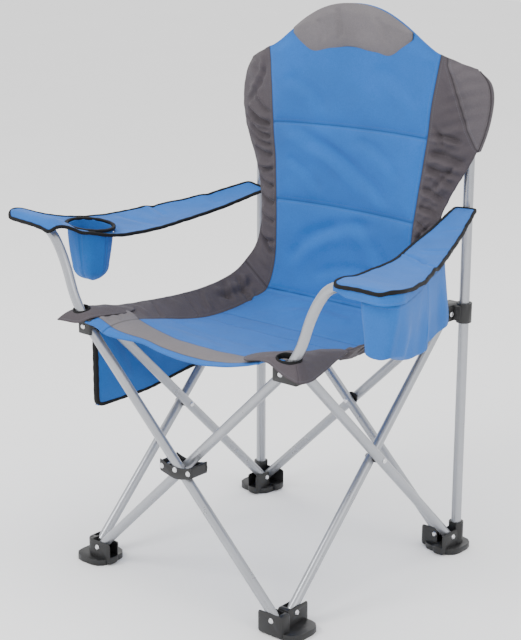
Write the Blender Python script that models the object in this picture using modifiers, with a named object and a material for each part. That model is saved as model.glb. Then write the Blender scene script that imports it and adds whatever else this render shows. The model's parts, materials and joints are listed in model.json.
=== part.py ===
import math

import bmesh
import bpy
import numpy as np
from mathutils import Matrix, Vector

# Driving sizes, metres. Front faces -Y, right is +X, the ground is z = 0.
halfPivots = 0.222  # half the square between the scissor pivots
pivotLow = 0.030  # height of the foot pivots
pivotRise = 0.4375  # foot pivots up to the hub and collar pivots
tubeRadius = 0.009
uprightRadius = 0.0095
frontStep = 0.0205  # from the pivot square forward to the first front tube, and from it to the second
sideStep = 0.0215  # between the two tubes of a side or of the back
tubeEnd = 0.0065  # tube past its pivot
tubeSides = 14

gapTouch = 0.0003  # between pieces that touch
slotClear = 0.0007  # each side of a tube in its slot
cheek = 0.0033  # plastic wall beside a tube
pinRadius = 0.0028
pinClear = 0.0003
headRadius = 0.0052
headHeight = 0.0018

uprightX = halfPivots + 0.0240
uprightY = halfPivots + 0.0240
uprightBottom = 0.012
uprightTop = 0.862
collarClear = 0.0006

backTop = 1.021
backFront = 0.2140
backRear = 0.2400
armThick = 0.006
cupRadius = 0.0425
cupX = -0.3125
cupY = -0.1650
cupBottom = 0.512
cupTop = 0.618

pivotHigh = pivotLow + pivotRise
pivotMid = pivotLow + pivotRise / 2
frontInner = halfPivots + frontStep
frontOuter = halfPivots + 2 * frontStep
planeInner = halfPivots  # the nearer tube of a side or of the back
planeOuter = halfPivots + sideStep
slotHalf = tubeRadius + slotClear
blockHalf = slotHalf + cheek

for item in list(bpy.data.objects):
    bpy.data.objects.remove(item, do_unlink=True)
for block in list(bpy.data.meshes):
    bpy.data.meshes.remove(block)


def newCollection(name):
    made = bpy.data.collections.new(name)
    bpy.context.scene.collection.children.link(made)
    return made


chairCollection = newCollection("folding_camp_chair")
cutterCollection = newCollection("cutters")


def makeMaterial(name, colour, roughness, metallic):
    made = bpy.data.materials.new(name)
    made.use_nodes = True
    shader = made.node_tree.nodes["Principled BSDF"]
    shader.inputs["Base Color"].default_value = (*colour, 1.0)
    shader.inputs["Roughness"].default_value = roughness
    shader.inputs["Metallic"].default_value = metallic
    made.diffuse_color = (*colour, 1.0)
    return made


coated = makeMaterial("grey_coated_steel", (0.52, 0.53, 0.55), 0.32, 0.85)
plastic = makeMaterial("black_plastic", (0.02, 0.02, 0.022), 0.5, 0.0)
rivetSteel = makeMaterial("rivet_steel", (0.62, 0.62, 0.63), 0.3, 1.0)
blueCloth = makeMaterial("blue_cloth", (0.05, 0.22, 0.52), 0.85, 0.0)
greyCloth = makeMaterial("grey_cloth", (0.14, 0.13, 0.145), 0.88, 0.0)
blackTape = makeMaterial("black_tape", (0.02, 0.02, 0.022), 0.8, 0.0)


def finish(item, name, material):
    """Names a piece, files it with the chair and gives it its material."""
    item.name = name
    item.data.name = name
    for owner in list(item.users_collection):
        owner.objects.unlink(item)
    chairCollection.objects.link(item)
    item.data.materials.clear()
    item.data.materials.append(material)
    return item


def fromBmesh(name, shape):
    mesh = bpy.data.meshes.new(name)
    bmesh.ops.recalc_face_normals(shape, faces=shape.faces)
    shape.to_mesh(mesh)
    shape.free()
    item = bpy.data.objects.new(name, mesh)
    bpy.context.scene.collection.objects.link(item)
    return item


def makeBox(centre, size, bevel=0.0, turn=0.0, axis="X"):
    """A box about its centre, turned by an angle about one axis."""
    shape = bmesh.new()
    bmesh.ops.create_cube(shape, size=1.0)
    for corner in shape.verts:
        corner.co = Vector((corner.co.x * size[0], corner.co.y * size[1], corner.co.z * size[2]))
    item = fromBmesh("box", shape)
    item.location = centre
    item.rotation_euler = Matrix.Rotation(turn, 4, axis).to_euler()
    if bevel > 0:
        rounding = item.modifiers.new("round", "BEVEL")
        rounding.width = bevel
        rounding.segments = 2
        rounding.limit_method = "ANGLE"
    return item


def makeRod(centre, axis, radius, length, sides=24, radiusEnd=None):
    """A cylinder or cone about its centre along an axis."""
    shape = bmesh.new()
    bmesh.ops.create_cone(
        shape,
        cap_ends=True,
        segments=sides,
        radius1=radius,
        radius2=radius if radiusEnd is None else radiusEnd,
        depth=length,
    )
    item = fromBmesh("rod", shape)
    item.location = centre
    item.rotation_euler = Vector((0, 0, 1)).rotation_difference(Vector(axis)).to_euler()
    return item


def outlinePrism(outline, front, rear):
    """A filled outline in X and Z with a depth along Y."""
    line = bpy.data.curves.new("outline", "CURVE")
    line.dimensions = "2D"
    line.fill_mode = "BOTH"
    line.extrude = (rear - front) / 2
    spline = line.splines.new("POLY")
    spline.points.add(len(outline) - 1)
    for point, (x, z) in zip(spline.points, outline):
        point.co = (x, z, 0, 1)
    spline.use_cyclic_u = True
    holder = bpy.data.objects.new("outline", line)
    bpy.context.scene.collection.objects.link(holder)
    bpy.context.view_layer.update()
    mesh = bpy.data.meshes.new_from_object(holder.evaluated_get(bpy.context.evaluated_depsgraph_get()))
    bpy.data.objects.remove(holder, do_unlink=True)
    mesh.transform(Matrix.Rotation(math.radians(90), 4, "X"))
    mesh.transform(Matrix.Translation((0, (front + rear) / 2, 0)))
    shape = bmesh.new()
    shape.from_mesh(mesh)
    bmesh.ops.remove_doubles(shape, verts=shape.verts, dist=0.00001)
    return fromBmesh("outline", shape)


operandCount = [0]


def combine(target, other, operation):
    """A Boolean with an operand that stays in the cutters collection."""
    operandCount[0] += 1
    other.name = f"operand_{operandCount[0]:03d}"
    for owner in list(other.users_collection):
        owner.objects.unlink(other)
    cutterCollection.objects.link(other)
    other.hide_render = True
    other.display_type = "WIRE"
    change = target.modifiers.new(f"{operation.lower()}_{operandCount[0]:03d}", "BOOLEAN")
    change.operation = operation
    change.solver = "EXACT"
    change.object = other
    return target


def roundedPath(corners, radius, steps=4):
    """The corners with each inner one replaced by a smooth bend."""
    path = [Vector(corners[0])]
    for before, here, after in zip(corners, corners[1:], corners[2:]):
        before = Vector(before)
        here = Vector(here)
        after = Vector(after)
        reach = min(radius, (here - before).length * 0.48, (after - here).length * 0.48)
        start = here + (before - here).normalized() * reach
        end = here + (after - here).normalized() * reach
        for step in range(steps + 1):
            part = step / steps
            path.append(start * (1 - part) ** 2 + here * 2 * part * (1 - part) + end * part**2)
    path.append(Vector(corners[-1]))
    return path


def makeTube(name, corners, radius, material, bend=0.04, origin=(0, 0, 0)):
    """A round bar along a path, with its origin on the joint that carries it."""
    line = bpy.data.curves.new(name, "CURVE")
    line.dimensions = "3D"
    line.bevel_depth = radius
    line.bevel_resolution = (tubeSides - 4) // 2
    line.use_fill_caps = True
    path = roundedPath(corners, bend) if len(corners) > 2 else [Vector(c) for c in corners]
    spline = line.splines.new("POLY")
    spline.points.add(len(path) - 1)
    for point, place in zip(spline.points, path):
        point.co = (*(place - Vector(origin)), 1.0)
    holder = bpy.data.objects.new(name, line)
    bpy.context.scene.collection.objects.link(holder)
    bpy.context.view_layer.update()
    mesh = bpy.data.meshes.new_from_object(holder.evaluated_get(bpy.context.evaluated_depsgraph_get()))
    bpy.data.objects.remove(holder, do_unlink=True)
    shape = bmesh.new()
    shape.from_mesh(mesh)
    bmesh.ops.remove_doubles(shape, verts=shape.verts, dist=0.00001)
    item = fromBmesh(name, shape)
    item.location = origin
    return finish(item, name, material)


def scissorTube(name, low, high, corners=None):
    """A tube from its lower pivot to its upper one, carried on past each by the tube end."""
    low = Vector(low)
    high = Vector(high)
    along = (high - low).normalized()
    path = [low - along * tubeEnd] + (corners or [high + along * tubeEnd])
    return makeTube(name, path, tubeRadius, coated, origin=low)


pivotPins = {"X": (1, 0, 0), "Y": (0, 1, 0)}


def drill(item, place, axis):
    """A pin hole through one piece."""
    combine(item, makeRod(place, pivotPins[axis], pinRadius + pinClear, 0.08, 12), "DIFFERENCE")


def makePin(name, place, axis, reach, outward=0):
    """A turned pin. It has two domed heads, or one on the outward side where its other end stops in the tube."""
    under = reach + gapTouch
    top = under + headHeight
    profile = [(0.0, top), (headRadius * 0.7, top), (headRadius, under), (pinRadius, under)]
    if outward:
        profile += [(pinRadius, -tubeRadius + 0.0010), (0.0, -tubeRadius + 0.0010)]
    else:
        profile += [(radius, -height) for radius, height in reversed(profile)]
    shape = bmesh.new()
    points = [shape.verts.new((radius, 0, height)) for radius, height in profile]
    for first, second in zip(points, points[1:]):
        shape.edges.new((first, second))
    mesh = bpy.data.meshes.new(name)
    shape.to_mesh(mesh)
    shape.free()
    item = bpy.data.objects.new(name, mesh)
    bpy.context.scene.collection.objects.link(item)
    turned = item.modifiers.new("turn", "SCREW")
    turned.angle = math.tau
    turned.steps = 10
    turned.render_steps = 10
    turned.use_merge_vertices = True
    turned.merge_threshold = 0.00005
    item.location = place
    heading = Vector(pivotPins[axis]) * (outward or 1)
    item.rotation_euler = Vector((0, 0, 1)).rotation_difference(heading).to_euler()
    return finish(item, name, rivetSteel)


# Tubes. Each runs from a foot pivot up to a hub or collar pivot.
def postCorners(side, plane):
    """The bends of a front tube above its hub, up to the armrest."""
    return [
        Vector((side * (halfPivots + 0.0270), -plane, pivotHigh + 0.0270)),
        Vector((side * 0.279, -plane, 0.583)),
        Vector((side * 0.316, -plane, 0.636)),
        Vector((side * 0.394, -plane, 0.638)),
    ]


frontLeftTube = scissorTube(
    "front_tube_left_arm",
    (halfPivots, -frontOuter, pivotLow),
    (-halfPivots, -frontOuter, pivotHigh),
    postCorners(-1, frontOuter),
)
frontRightTube = scissorTube(
    "front_tube_right_arm",
    (-halfPivots, -frontInner, pivotLow),
    (halfPivots, -frontInner, pivotHigh),
    postCorners(1, frontInner),
)
sideRightOuter = scissorTube(
    "side_tube_right_outer", (planeOuter, halfPivots, pivotLow), (planeOuter, -halfPivots, pivotHigh)
)
sideRightInner = scissorTube(
    "side_tube_right_inner", (planeInner, -halfPivots, pivotLow), (planeInner, halfPivots, pivotHigh)
)
sideLeftInner = scissorTube(
    "side_tube_left_inner", (-planeInner, halfPivots, pivotLow), (-planeInner, -halfPivots, pivotHigh)
)
sideLeftOuter = scissorTube(
    "side_tube_left_outer", (-planeOuter, -halfPivots, pivotLow), (-planeOuter, halfPivots, pivotHigh)
)
backNear = scissorTube(
    "back_tube_near", (halfPivots, planeInner, pivotLow), (-halfPivots, planeInner, pivotHigh)
)
backFar = scissorTube(
    "back_tube_far", (-halfPivots, planeOuter, pivotLow), (halfPivots, planeOuter, pivotHigh)
)
uprightRight = makeTube(
    "rear_upright_right",
    [(uprightX, uprightY, uprightBottom), (uprightX, uprightY, uprightTop)],
    uprightRadius,
    coated,
    origin=(uprightX, uprightY, uprightBottom),
)
uprightLeft = makeTube(
    "rear_upright_left",
    [(-uprightX, uprightY, uprightBottom), (-uprightX, uprightY, uprightTop)],
    uprightRadius,
    coated,
    origin=(-uprightX, uprightY, uprightBottom),
)


# Feet. Each holds one tube that leans along X and one that leans along Y.
def slotBox(side, plane, back, length, low, high, axis, oneCheek):
    """The space of a leaning tube: open inward along the tube's plane, and on its inner face too with one cheek."""
    opened = cheek + 0.002 if oneCheek else 0.0
    width = 2 * slotHalf + opened
    across = side[1 if axis == "Y" else 0] * (plane - opened / 2)
    along = side[0 if axis == "Y" else 1] * (back - length / 2)
    middle = (low + high) / 2
    if axis == "Y":
        return makeBox((along, across, middle), (length, width, high - low))
    return makeBox((across, along, middle), (width, length, high - low + 0.0002))


def makeFoot(name, sideX, sideY, planeY, planeX, oneY, oneX, upright):
    """A boat-shaped foot with a slot for each tube and, at the rear, a socket for the upright."""
    side = (sideX, sideY)
    foot = makeBox((sideX * (halfPivots - 0.004), sideY * planeY, 0.0215), (0.056, 2 * blockHalf, 0.043), 0.006)
    combine(
        foot,
        makeBox((sideX * planeX, sideY * (halfPivots - 0.0047), 0.0207), (2 * blockHalf, 0.0570, 0.0414), 0.0053),
        "UNION",
    )
    pad = makeBox((sideX * (halfPivots + 0.013), sideY * (halfPivots + 0.013), 0.0055), (0.074, 0.074, 0.011), 0.0)
    rim = pad.modifiers.new("round", "BEVEL")
    rim.width = 0.024
    rim.segments = 3
    rim.limit_method = "WEIGHT"
    weights = pad.data.attributes.new("bevel_weight_edge", "FLOAT", "EDGE")
    for edge in pad.data.edges:
        first, second = (pad.data.vertices[i].co for i in edge.vertices)
        weights.data[edge.index].value = 1.0 if abs(first.z - second.z) > 0.005 else 0.0
    combine(foot, pad, "UNION")
    if upright:
        socket = makeRod((sideX * uprightX, sideY * uprightY, 0.0261), (0, 0, 1), 0.0140, 0.052, 20)
        combine(foot, socket, "UNION")
        boreBottom = uprightBottom - gapTouch
        bore = makeRod((sideX * uprightX, sideY * uprightY, boreBottom + 0.05), (0, 0, 1), uprightRadius + gapTouch, 0.1, 24)
        combine(foot, bore, "DIFFERENCE")
    floor = pivotLow - 0.0145
    back = halfPivots + 0.0140
    combine(foot, slotBox(side, planeY, back, 0.1, floor, 0.1, "Y", oneY), "DIFFERENCE")
    combine(foot, slotBox(side, planeX, back, 0.1, floor, 0.1, "X", oneX), "DIFFERENCE")
    drill(foot, (sideX * halfPivots, sideY * planeY, pivotLow), "Y")
    drill(foot, (sideX * planeX, sideY * halfPivots, pivotLow), "X")
    return finish(foot, name, plastic)


footFrontRight = makeFoot("foot_front_right", 1, -1, frontOuter, planeInner, False, False, False)
footFrontLeft = makeFoot("foot_front_left", -1, -1, frontInner, planeOuter, False, True, False)
footRearRight = makeFoot("foot_rear_right", 1, 1, planeInner, planeOuter, False, True, True)
footRearLeft = makeFoot("foot_rear_left", -1, 1, planeOuter, planeInner, True, False, True)


# Front brackets. The post passes up through one slot, the side tube ends in the other.
def makeBracket(name, side, planeY, planeX, oneX):
    low = pivotHigh - 0.0150
    high = pivotHigh + 0.0160
    middle = (low + high) / 2
    height = high - low
    outerEnd = planeX + blockHalf
    innerEnd = halfPivots - 0.018
    bracket = makeBox(
        (side * (innerEnd + outerEnd) / 2, -planeY, middle),
        (outerEnd - innerEnd, 2 * blockHalf, height),
        0.003,
    )
    combine(
        bracket,
        makeBox(
            (side * planeX, -(planeY + halfPivots - 0.021) / 2, middle),
            (2 * blockHalf, planeY - halfPivots + 0.021, height - 0.0002),
            0.003,
        ),
        "UNION",
    )
    # the post's slot is every place the post takes between open and folded
    half = slotHalf + 0.0005
    reach = 0.07
    steep = math.radians(5.5)
    slack = math.radians(46.5)
    middleTilt = (steep + slack) / 2
    corner = half / math.cos((slack - steep) / 2)
    fan = [
        (reach * math.sin(steep) - half * math.cos(steep), reach * math.cos(steep) + half * math.sin(steep)),
        (reach * math.sin(slack) + half * math.cos(slack), reach * math.cos(slack) - half * math.sin(slack)),
        (corner * math.cos(middleTilt), -corner * math.sin(middleTilt)),
    ]
    fan += [(-x, -z) for x, z in fan]
    outline = [(side * (halfPivots + x), pivotHigh + z) for x, z in fan]
    combine(bracket, outlinePrism(outline, -planeY - slotHalf, -planeY + slotHalf), "DIFFERENCE")
    slot = slotBox((side, -1), planeX, halfPivots + 0.0135, 0.1, 0.35, pivotHigh + 0.0123, "X", oneX)
    combine(bracket, slot, "DIFFERENCE")
    drill(bracket, (side * halfPivots, -planeY, pivotHigh), "Y")
    drill(bracket, (side * planeX, -halfPivots, pivotHigh), "X")
    return finish(bracket, name, plastic)


bracketRight = makeBracket("bracket_front_right", 1, frontInner, planeOuter, True)
bracketLeft = makeBracket("bracket_front_left", -1, frontOuter, planeInner, False)


# Rear collars. They slide on the uprights and hang the tops of two tubes.
def makeCollar(name, side, planeY, planeX, oneY, oneX):
    low = pivotHigh - 0.0140
    high = pivotHigh + 0.0170
    middle = (low + high) / 2
    height = high - low
    reach = (halfPivots - 0.017, halfPivots + 0.027)
    centre = (reach[0] + reach[1]) / 2
    length = reach[1] - reach[0]
    collar = makeRod((side * uprightX, uprightY, middle), (0, 0, 1), 0.0145, height + 0.006, 20)
    combine(collar, makeBox((side * planeX, centre, middle), (2 * blockHalf, length, height), 0.003), "UNION")
    combine(collar, makeBox((side * centre, planeY, middle), (length, 2 * blockHalf, height - 0.0002), 0.003), "UNION")
    bore = makeRod((side * uprightX, uprightY, middle), (0, 0, 1), uprightRadius + collarClear, 0.1, 24)
    combine(collar, bore, "DIFFERENCE")
    back = halfPivots + 0.0120
    combine(collar, slotBox((side, 1), planeX, back, 0.1, 0.35, pivotHigh + 0.0123, "X", oneX), "DIFFERENCE")
    combine(collar, slotBox((side, 1), planeY, back, 0.1, 0.35, pivotHigh + 0.0122, "Y", oneY), "DIFFERENCE")
    drill(collar, (side * planeX, halfPivots, pivotHigh), "X")
    drill(collar, (side * halfPivots, planeY, pivotHigh), "Y")
    return finish(collar, name, plastic)


collarRight = makeCollar("collar_rear_right", 1, planeOuter, planeInner, True, False)
collarLeft = makeCollar("collar_rear_left", -1, planeInner, planeOuter, False, True)

# Front crossing hub: two plates joined by a web on each side, round both tubes.
hubFront = -(frontOuter + tubeRadius + 0.0005)
hubRear = -(frontInner - tubeRadius - 0.0005)
hubHalf = 0.0350
hubTall = 0.0270
crossHub = makeBox(
    (0, (hubFront + hubRear) / 2, pivotMid), (2 * hubHalf, hubRear - hubFront + 0.006, hubTall), 0.004
)
combine(
    crossHub,
    makeBox((0, (hubFront + hubRear) / 2, pivotMid), (2 * hubHalf - 0.014, hubRear - hubFront, 0.08)),
    "DIFFERENCE",
)
drill(crossHub, (0, (hubFront + hubRear) / 2, pivotMid), "Y")
for side in (-1, 1):
    drill(crossHub, (side * (hubHalf - 0.0036), (hubFront + hubRear) / 2, pivotMid), "Y")
finish(crossHub, "cross_hub_front", plastic)


def makeWasher(name, place, axis, radius, thick):
    washer = makeRod(place, pivotPins[axis], radius, thick, 16)
    drill(washer, place, axis)
    return finish(washer, name, plastic)


planeGap = sideStep - 2 * tubeRadius - 2 * gapTouch
planeMid = (planeInner + planeOuter) / 2
frontMid = (frontInner + frontOuter) / 2
washerRight = makeWasher("washer_side_right", (planeMid, 0, pivotMid), "X", 0.0075, planeGap)
washerLeft = makeWasher("washer_side_left", (-planeMid, 0, pivotMid), "X", 0.0075, planeGap)
spacerRear = makeWasher("spacer_back_cross", (0, planeMid, pivotMid), "Y", 0.0130, planeGap)

# Pins at every pivot, and the holes they need.
pinSpots = [
    ("pin_foot_front_right_a", (halfPivots, -frontOuter, pivotLow), "Y", frontLeftTube, 0),
    ("pin_foot_front_right_b", (planeInner, -halfPivots, pivotLow), "X", sideRightInner, 0),
    ("pin_foot_front_left_a", (-halfPivots, -frontInner, pivotLow), "Y", frontRightTube, 0),
    ("pin_foot_front_left_b", (-planeOuter, -halfPivots, pivotLow), "X", sideLeftOuter, -1),
    ("pin_foot_rear_right_a", (halfPivots, planeInner, pivotLow), "Y", backNear, 0),
    ("pin_foot_rear_right_b", (planeOuter, halfPivots, pivotLow), "X", sideRightOuter, 1),
    ("pin_foot_rear_left_a", (-halfPivots, planeOuter, pivotLow), "Y", backFar, 1),
    ("pin_foot_rear_left_b", (-planeInner, halfPivots, pivotLow), "X", sideLeftInner, 0),
    ("pin_bracket_right_a", (halfPivots, -frontInner, pivotHigh), "Y", frontRightTube, 0),
    ("pin_bracket_right_b", (planeOuter, -halfPivots, pivotHigh), "X", sideRightOuter, 1),
    ("pin_bracket_left_a", (-halfPivots, -frontOuter, pivotHigh), "Y", frontLeftTube, -1),
    ("pin_bracket_left_b", (-planeInner, -halfPivots, pivotHigh), "X", sideLeftInner, 0),
    ("pin_collar_right_a", (halfPivots, planeOuter, pivotHigh), "Y", backFar, 1),
    ("pin_collar_right_b", (planeInner, halfPivots, pivotHigh), "X", sideRightInner, 0),
    ("pin_collar_left_a", (-halfPivots, planeInner, pivotHigh), "Y", backNear, 0),
    ("pin_collar_left_b", (-planeOuter, halfPivots, pivotHigh), "X", sideLeftOuter, -1),
]
for name, place, axis, tube, outward in pinSpots:
    drill(tube, place, axis)
    makePin(name, place, axis, blockHalf, outward)
crossReach = sideStep / 2 + tubeRadius
for tube in (sideRightOuter, sideRightInner):
    drill(tube, (planeMid, 0, pivotMid), "X")
makePin("pin_side_right", (planeMid, 0, pivotMid), "X", crossReach)
for tube in (sideLeftOuter, sideLeftInner):
    drill(tube, (-planeMid, 0, pivotMid), "X")
makePin("pin_side_left", (-planeMid, 0, pivotMid), "X", crossReach)
for tube in (backNear, backFar):
    drill(tube, (0, planeMid, pivotMid), "Y")
makePin("pin_back_cross", (0, planeMid, pivotMid), "Y", crossReach)
for tube in (frontLeftTube, frontRightTube):
    drill(tube, (0, -frontMid, pivotMid), "Y")
hubReach = (hubRear - hubFront) / 2 + 0.003
makePin("pin_cross_hub", (0, -frontMid, pivotMid), "Y", hubReach)
for label, side in (("left", -1), ("right", 1)):
    makePin(f"pin_hub_web_{label}", (side * (hubHalf - 0.0036), -frontMid, pivotMid), "Y", hubReach)


# Cloth pieces as plain solids of the right size.
def makeCloth(name, columns, rows, place, thickness, material):
    """A flat grid moved onto a surface by place(u, v), then given a thickness."""
    shape = bmesh.new()
    bmesh.ops.create_grid(shape, x_segments=columns, y_segments=rows, size=1.0)
    for point in shape.verts:
        point.co = Vector(place((point.co.x + 1) / 2, (point.co.y + 1) / 2))
    item = fromBmesh(name, shape)
    thick = item.modifiers.new("thick", "SOLIDIFY")
    thick.thickness = thickness
    thick.offset = 0.0
    return finish(item, name, material)


seatHalfWidth = 0.2040
seatFront = -0.2250
seatRear = 0.2000
seatSplit = -0.0100
seatEdge = pivotHigh + 0.0060


def seatPoint(x, y):
    """The sling's height: straight at the sides, hanging lower along the middle and the front."""
    along = (y - seatFront) / (seatRear - seatFront)
    sag = 0.050 * (1 - along) + 0.014 * along + 0.080 * along * (1 - along)
    return (x, y, seatEdge - sag * (1 - (x / seatHalfWidth) ** 2))


makeCloth(
    "seat_front_half",
    10,
    6,
    lambda u, v: seatPoint((2 * u - 1) * seatHalfWidth, seatFront + v * (seatSplit - 0.0002 - seatFront)),
    0.010,
    blueCloth,
)
makeCloth(
    "seat_rear_half",
    10,
    6,
    lambda u, v: seatPoint((2 * u - 1) * seatHalfWidth, seatSplit + 0.0002 + v * (seatRear - seatSplit)),
    0.010,
    blueCloth,
)


def outlineSolid(name, half, front, rear, material):
    """A symmetric outline in X and Z, given as its right half, with a depth along Y."""
    outline = list(half) + [(-x, z) for x, z in reversed(half) if x > 0]
    return finish(outlinePrism(outline, front, rear), name, material)


backHalf = [
    (0.0, backTop),
    (0.050, backTop - 0.002),
    (0.092, backTop - 0.014),
    (0.140, backTop - 0.050),
    (0.185, backTop - 0.082),
    (0.240, backTop - 0.102),
    (0.272, backTop - 0.128),
    (0.287, backTop - 0.160),
    (0.283, 0.815),
    (0.262, 0.770),
    (0.232, 0.715),
    (0.212, 0.655),
    (0.205, 0.600),
    (0.208, 0.540),
    (0.218, 0.500),
    (0.218, 0.4880),
]
backrest = outlineSolid("backrest", backHalf, backFront, backRear, greyCloth)
for side in (-1, 1):
    combine(
        backrest,
        makeRod((side * uprightX, uprightY, 0.822), (0, 0, 1), 0.0170, 0.100, 24),
        "UNION",
    )
for side in (-1, 1):
    combine(
        backrest,
        makeRod((side * uprightX, uprightY, 0.768), (0, 0, 1), uprightRadius + 0.0010, 0.196, 24),
        "DIFFERENCE",
    )

headHalf = [
    (0.0, backTop - 0.006),
    (0.046, backTop - 0.008),
    (0.088, backTop - 0.020),
    (0.118, backTop - 0.042),
    (0.092, backTop - 0.072),
    (0.060, backTop - 0.090),
    (0.0, backTop - 0.095),
]
outlineSolid("headrest_patch", headHalf, backFront - gapTouch - 0.0045, backFront - gapTouch, greyCloth)


# The armrests' edges from front to rear: share of the length, outer edge x and height, inner edge x and height.
armRows = {
    1: [
        (0.00, 0.446, 0.6515, 0.345, 0.6515),
        (0.07, 0.450, 0.6515, 0.345, 0.6515),
        (0.12, 0.449, 0.6480, 0.345, 0.6480),
        (0.25, 0.434, 0.6435, 0.330, 0.6435),
        (0.40, 0.400, 0.6400, 0.314, 0.6400),
        (0.60, 0.357, 0.6420, 0.277, 0.6420),
        (0.80, 0.312, 0.6500, 0.250, 0.6500),
        (1.00, 0.268, 0.6640, 0.230, 0.6640),
    ],
    -1: [
        (0.00, 0.438, 0.6515, 0.285, 0.6505),
        (0.07, 0.438, 0.6515, 0.285, 0.6505),
        (0.15, 0.402, 0.6360, 0.262, 0.6280),
        (0.25, 0.372, 0.6240, 0.252, 0.6130),
        (0.40, 0.368, 0.6150, 0.250, 0.6060),
        (0.60, 0.362, 0.6130, 0.252, 0.6070),
        (0.80, 0.325, 0.6220, 0.245, 0.6160),
        (1.00, 0.268, 0.6450, 0.230, 0.6360),
    ],
}


def armPoint(side, u, v):
    """The armrest: front to rear along v, from its inner edge to its outer edge along u."""
    rows = np.array(armRows[side])
    outerX, outerZ, innerX, innerZ = (np.interp(v, rows[:, 0], rows[:, k]) for k in (1, 2, 3, 4))
    x = innerX + (outerX - innerX) * u
    z = innerZ + (outerZ - innerZ) * u
    return (side * x, -0.284 + 0.5190 * v, z)


makeCloth("armrest_right", 6, 18, lambda u, v: armPoint(1, u, v), armThick, blueCloth)
armLeft = makeCloth("armrest_left", 6, 18, lambda u, v: armPoint(-1, u, v), armThick, blueCloth)
combine(armLeft, makeRod((cupX, cupY, 0.62), (0, 0, 1), cupRadius + 0.0056, 0.2, 24), "DIFFERENCE")


def turnedPiece(name, profile, place, material, steps=24):
    """A profile of radius and height, turned about the vertical."""
    shape = bmesh.new()
    points = [shape.verts.new((radius, 0, height)) for radius, height in profile]
    for first, second in zip(points, points[1:]):
        shape.edges.new((first, second))
    if profile[0][0] > 0 and profile[-1][0] > 0:
        shape.edges.new((points[-1], points[0]))
    mesh = bpy.data.meshes.new(name)
    shape.to_mesh(mesh)
    shape.free()
    item = bpy.data.objects.new(name, mesh)
    bpy.context.scene.collection.objects.link(item)
    turned = item.modifiers.new("turn", "SCREW")
    turned.angle = math.tau
    turned.steps = steps
    turned.render_steps = steps
    turned.use_merge_vertices = True
    turned.merge_threshold = 0.00005
    item.location = place
    return finish(item, name, material)


turnedPiece(
    "cup_pouch",
    [
        (0.0, cupBottom + 0.0025),
        (cupRadius - 0.0090, cupBottom + 0.0025),
        (cupRadius - 0.0025, cupTop),
        (cupRadius, cupTop),
        (cupRadius - 0.0065, cupBottom),
        (0.0, cupBottom),
    ],
    (cupX, cupY, 0),
    blueCloth,
)
turnedPiece(
    "cup_rim",
    [
        (cupRadius + 0.0004, cupTop + 0.004),
        (cupRadius + 0.0052, cupTop + 0.004),
        (cupRadius + 0.0052, cupTop - 0.006),
        (cupRadius + 0.0004, cupTop - 0.006),
    ],
    (cupX, cupY, 0),
    blackTape,
)

# Open bags: one under the right armrest, one beside the seat on the left.
armBagTurn = math.atan2(0.085, 0.30)
armBagCentre = (0.385, -0.118, 0.5770)
armBag = makeBox(armBagCentre, (0.052, 0.290, 0.100), 0.004, turn=armBagTurn, axis="Z")
combine(
    armBag,
    makeBox(
        (armBagCentre[0], armBagCentre[1], armBagCentre[2] + 0.006),
        (0.046, 0.284, 0.106),
        turn=armBagTurn,
        axis="Z",
    ),
    "DIFFERENCE",
)
finish(armBag, "armrest_pocket_right", blueCloth)

sideBagX = -(planeOuter + blockHalf + 0.0165)
sideBagCentre = (sideBagX, -0.058, 0.3650)
sideBag = makeBox(sideBagCentre, (0.014, 0.280, 0.160), 0.003)
combine(
    sideBag,
    makeBox((sideBagX, -0.058, 0.3650 + 0.006), (0.0085, 0.2745, 0.166)),
    "DIFFERENCE",
)
finish(sideBag, "side_pocket_left", blueCloth)
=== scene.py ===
import bpy
import bmesh
import json
import math
import numpy as np
from mathutils import Matrix, Vector

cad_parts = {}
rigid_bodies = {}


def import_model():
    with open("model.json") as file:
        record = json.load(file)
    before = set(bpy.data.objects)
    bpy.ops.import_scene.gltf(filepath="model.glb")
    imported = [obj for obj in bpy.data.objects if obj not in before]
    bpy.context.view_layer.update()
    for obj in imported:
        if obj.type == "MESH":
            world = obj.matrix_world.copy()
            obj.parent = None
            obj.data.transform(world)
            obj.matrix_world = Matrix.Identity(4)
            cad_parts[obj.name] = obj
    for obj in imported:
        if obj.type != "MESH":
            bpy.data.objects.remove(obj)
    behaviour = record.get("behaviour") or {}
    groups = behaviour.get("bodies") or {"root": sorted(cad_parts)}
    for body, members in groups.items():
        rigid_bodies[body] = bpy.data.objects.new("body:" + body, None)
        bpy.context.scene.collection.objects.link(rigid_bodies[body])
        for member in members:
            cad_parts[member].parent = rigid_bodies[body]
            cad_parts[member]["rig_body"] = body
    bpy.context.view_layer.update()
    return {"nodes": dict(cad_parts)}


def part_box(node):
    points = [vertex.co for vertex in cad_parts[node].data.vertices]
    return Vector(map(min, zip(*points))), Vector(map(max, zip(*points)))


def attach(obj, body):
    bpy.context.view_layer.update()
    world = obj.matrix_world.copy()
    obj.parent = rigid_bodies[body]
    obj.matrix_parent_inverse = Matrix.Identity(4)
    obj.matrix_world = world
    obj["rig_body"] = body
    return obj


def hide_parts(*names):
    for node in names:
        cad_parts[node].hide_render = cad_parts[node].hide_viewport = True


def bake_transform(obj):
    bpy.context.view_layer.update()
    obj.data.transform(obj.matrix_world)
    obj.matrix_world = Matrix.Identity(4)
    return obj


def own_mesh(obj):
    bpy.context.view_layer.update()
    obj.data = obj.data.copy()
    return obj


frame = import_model()
scene = bpy.context.scene
print("frame loaded,", len(frame["nodes"]), "nodes")

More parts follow.
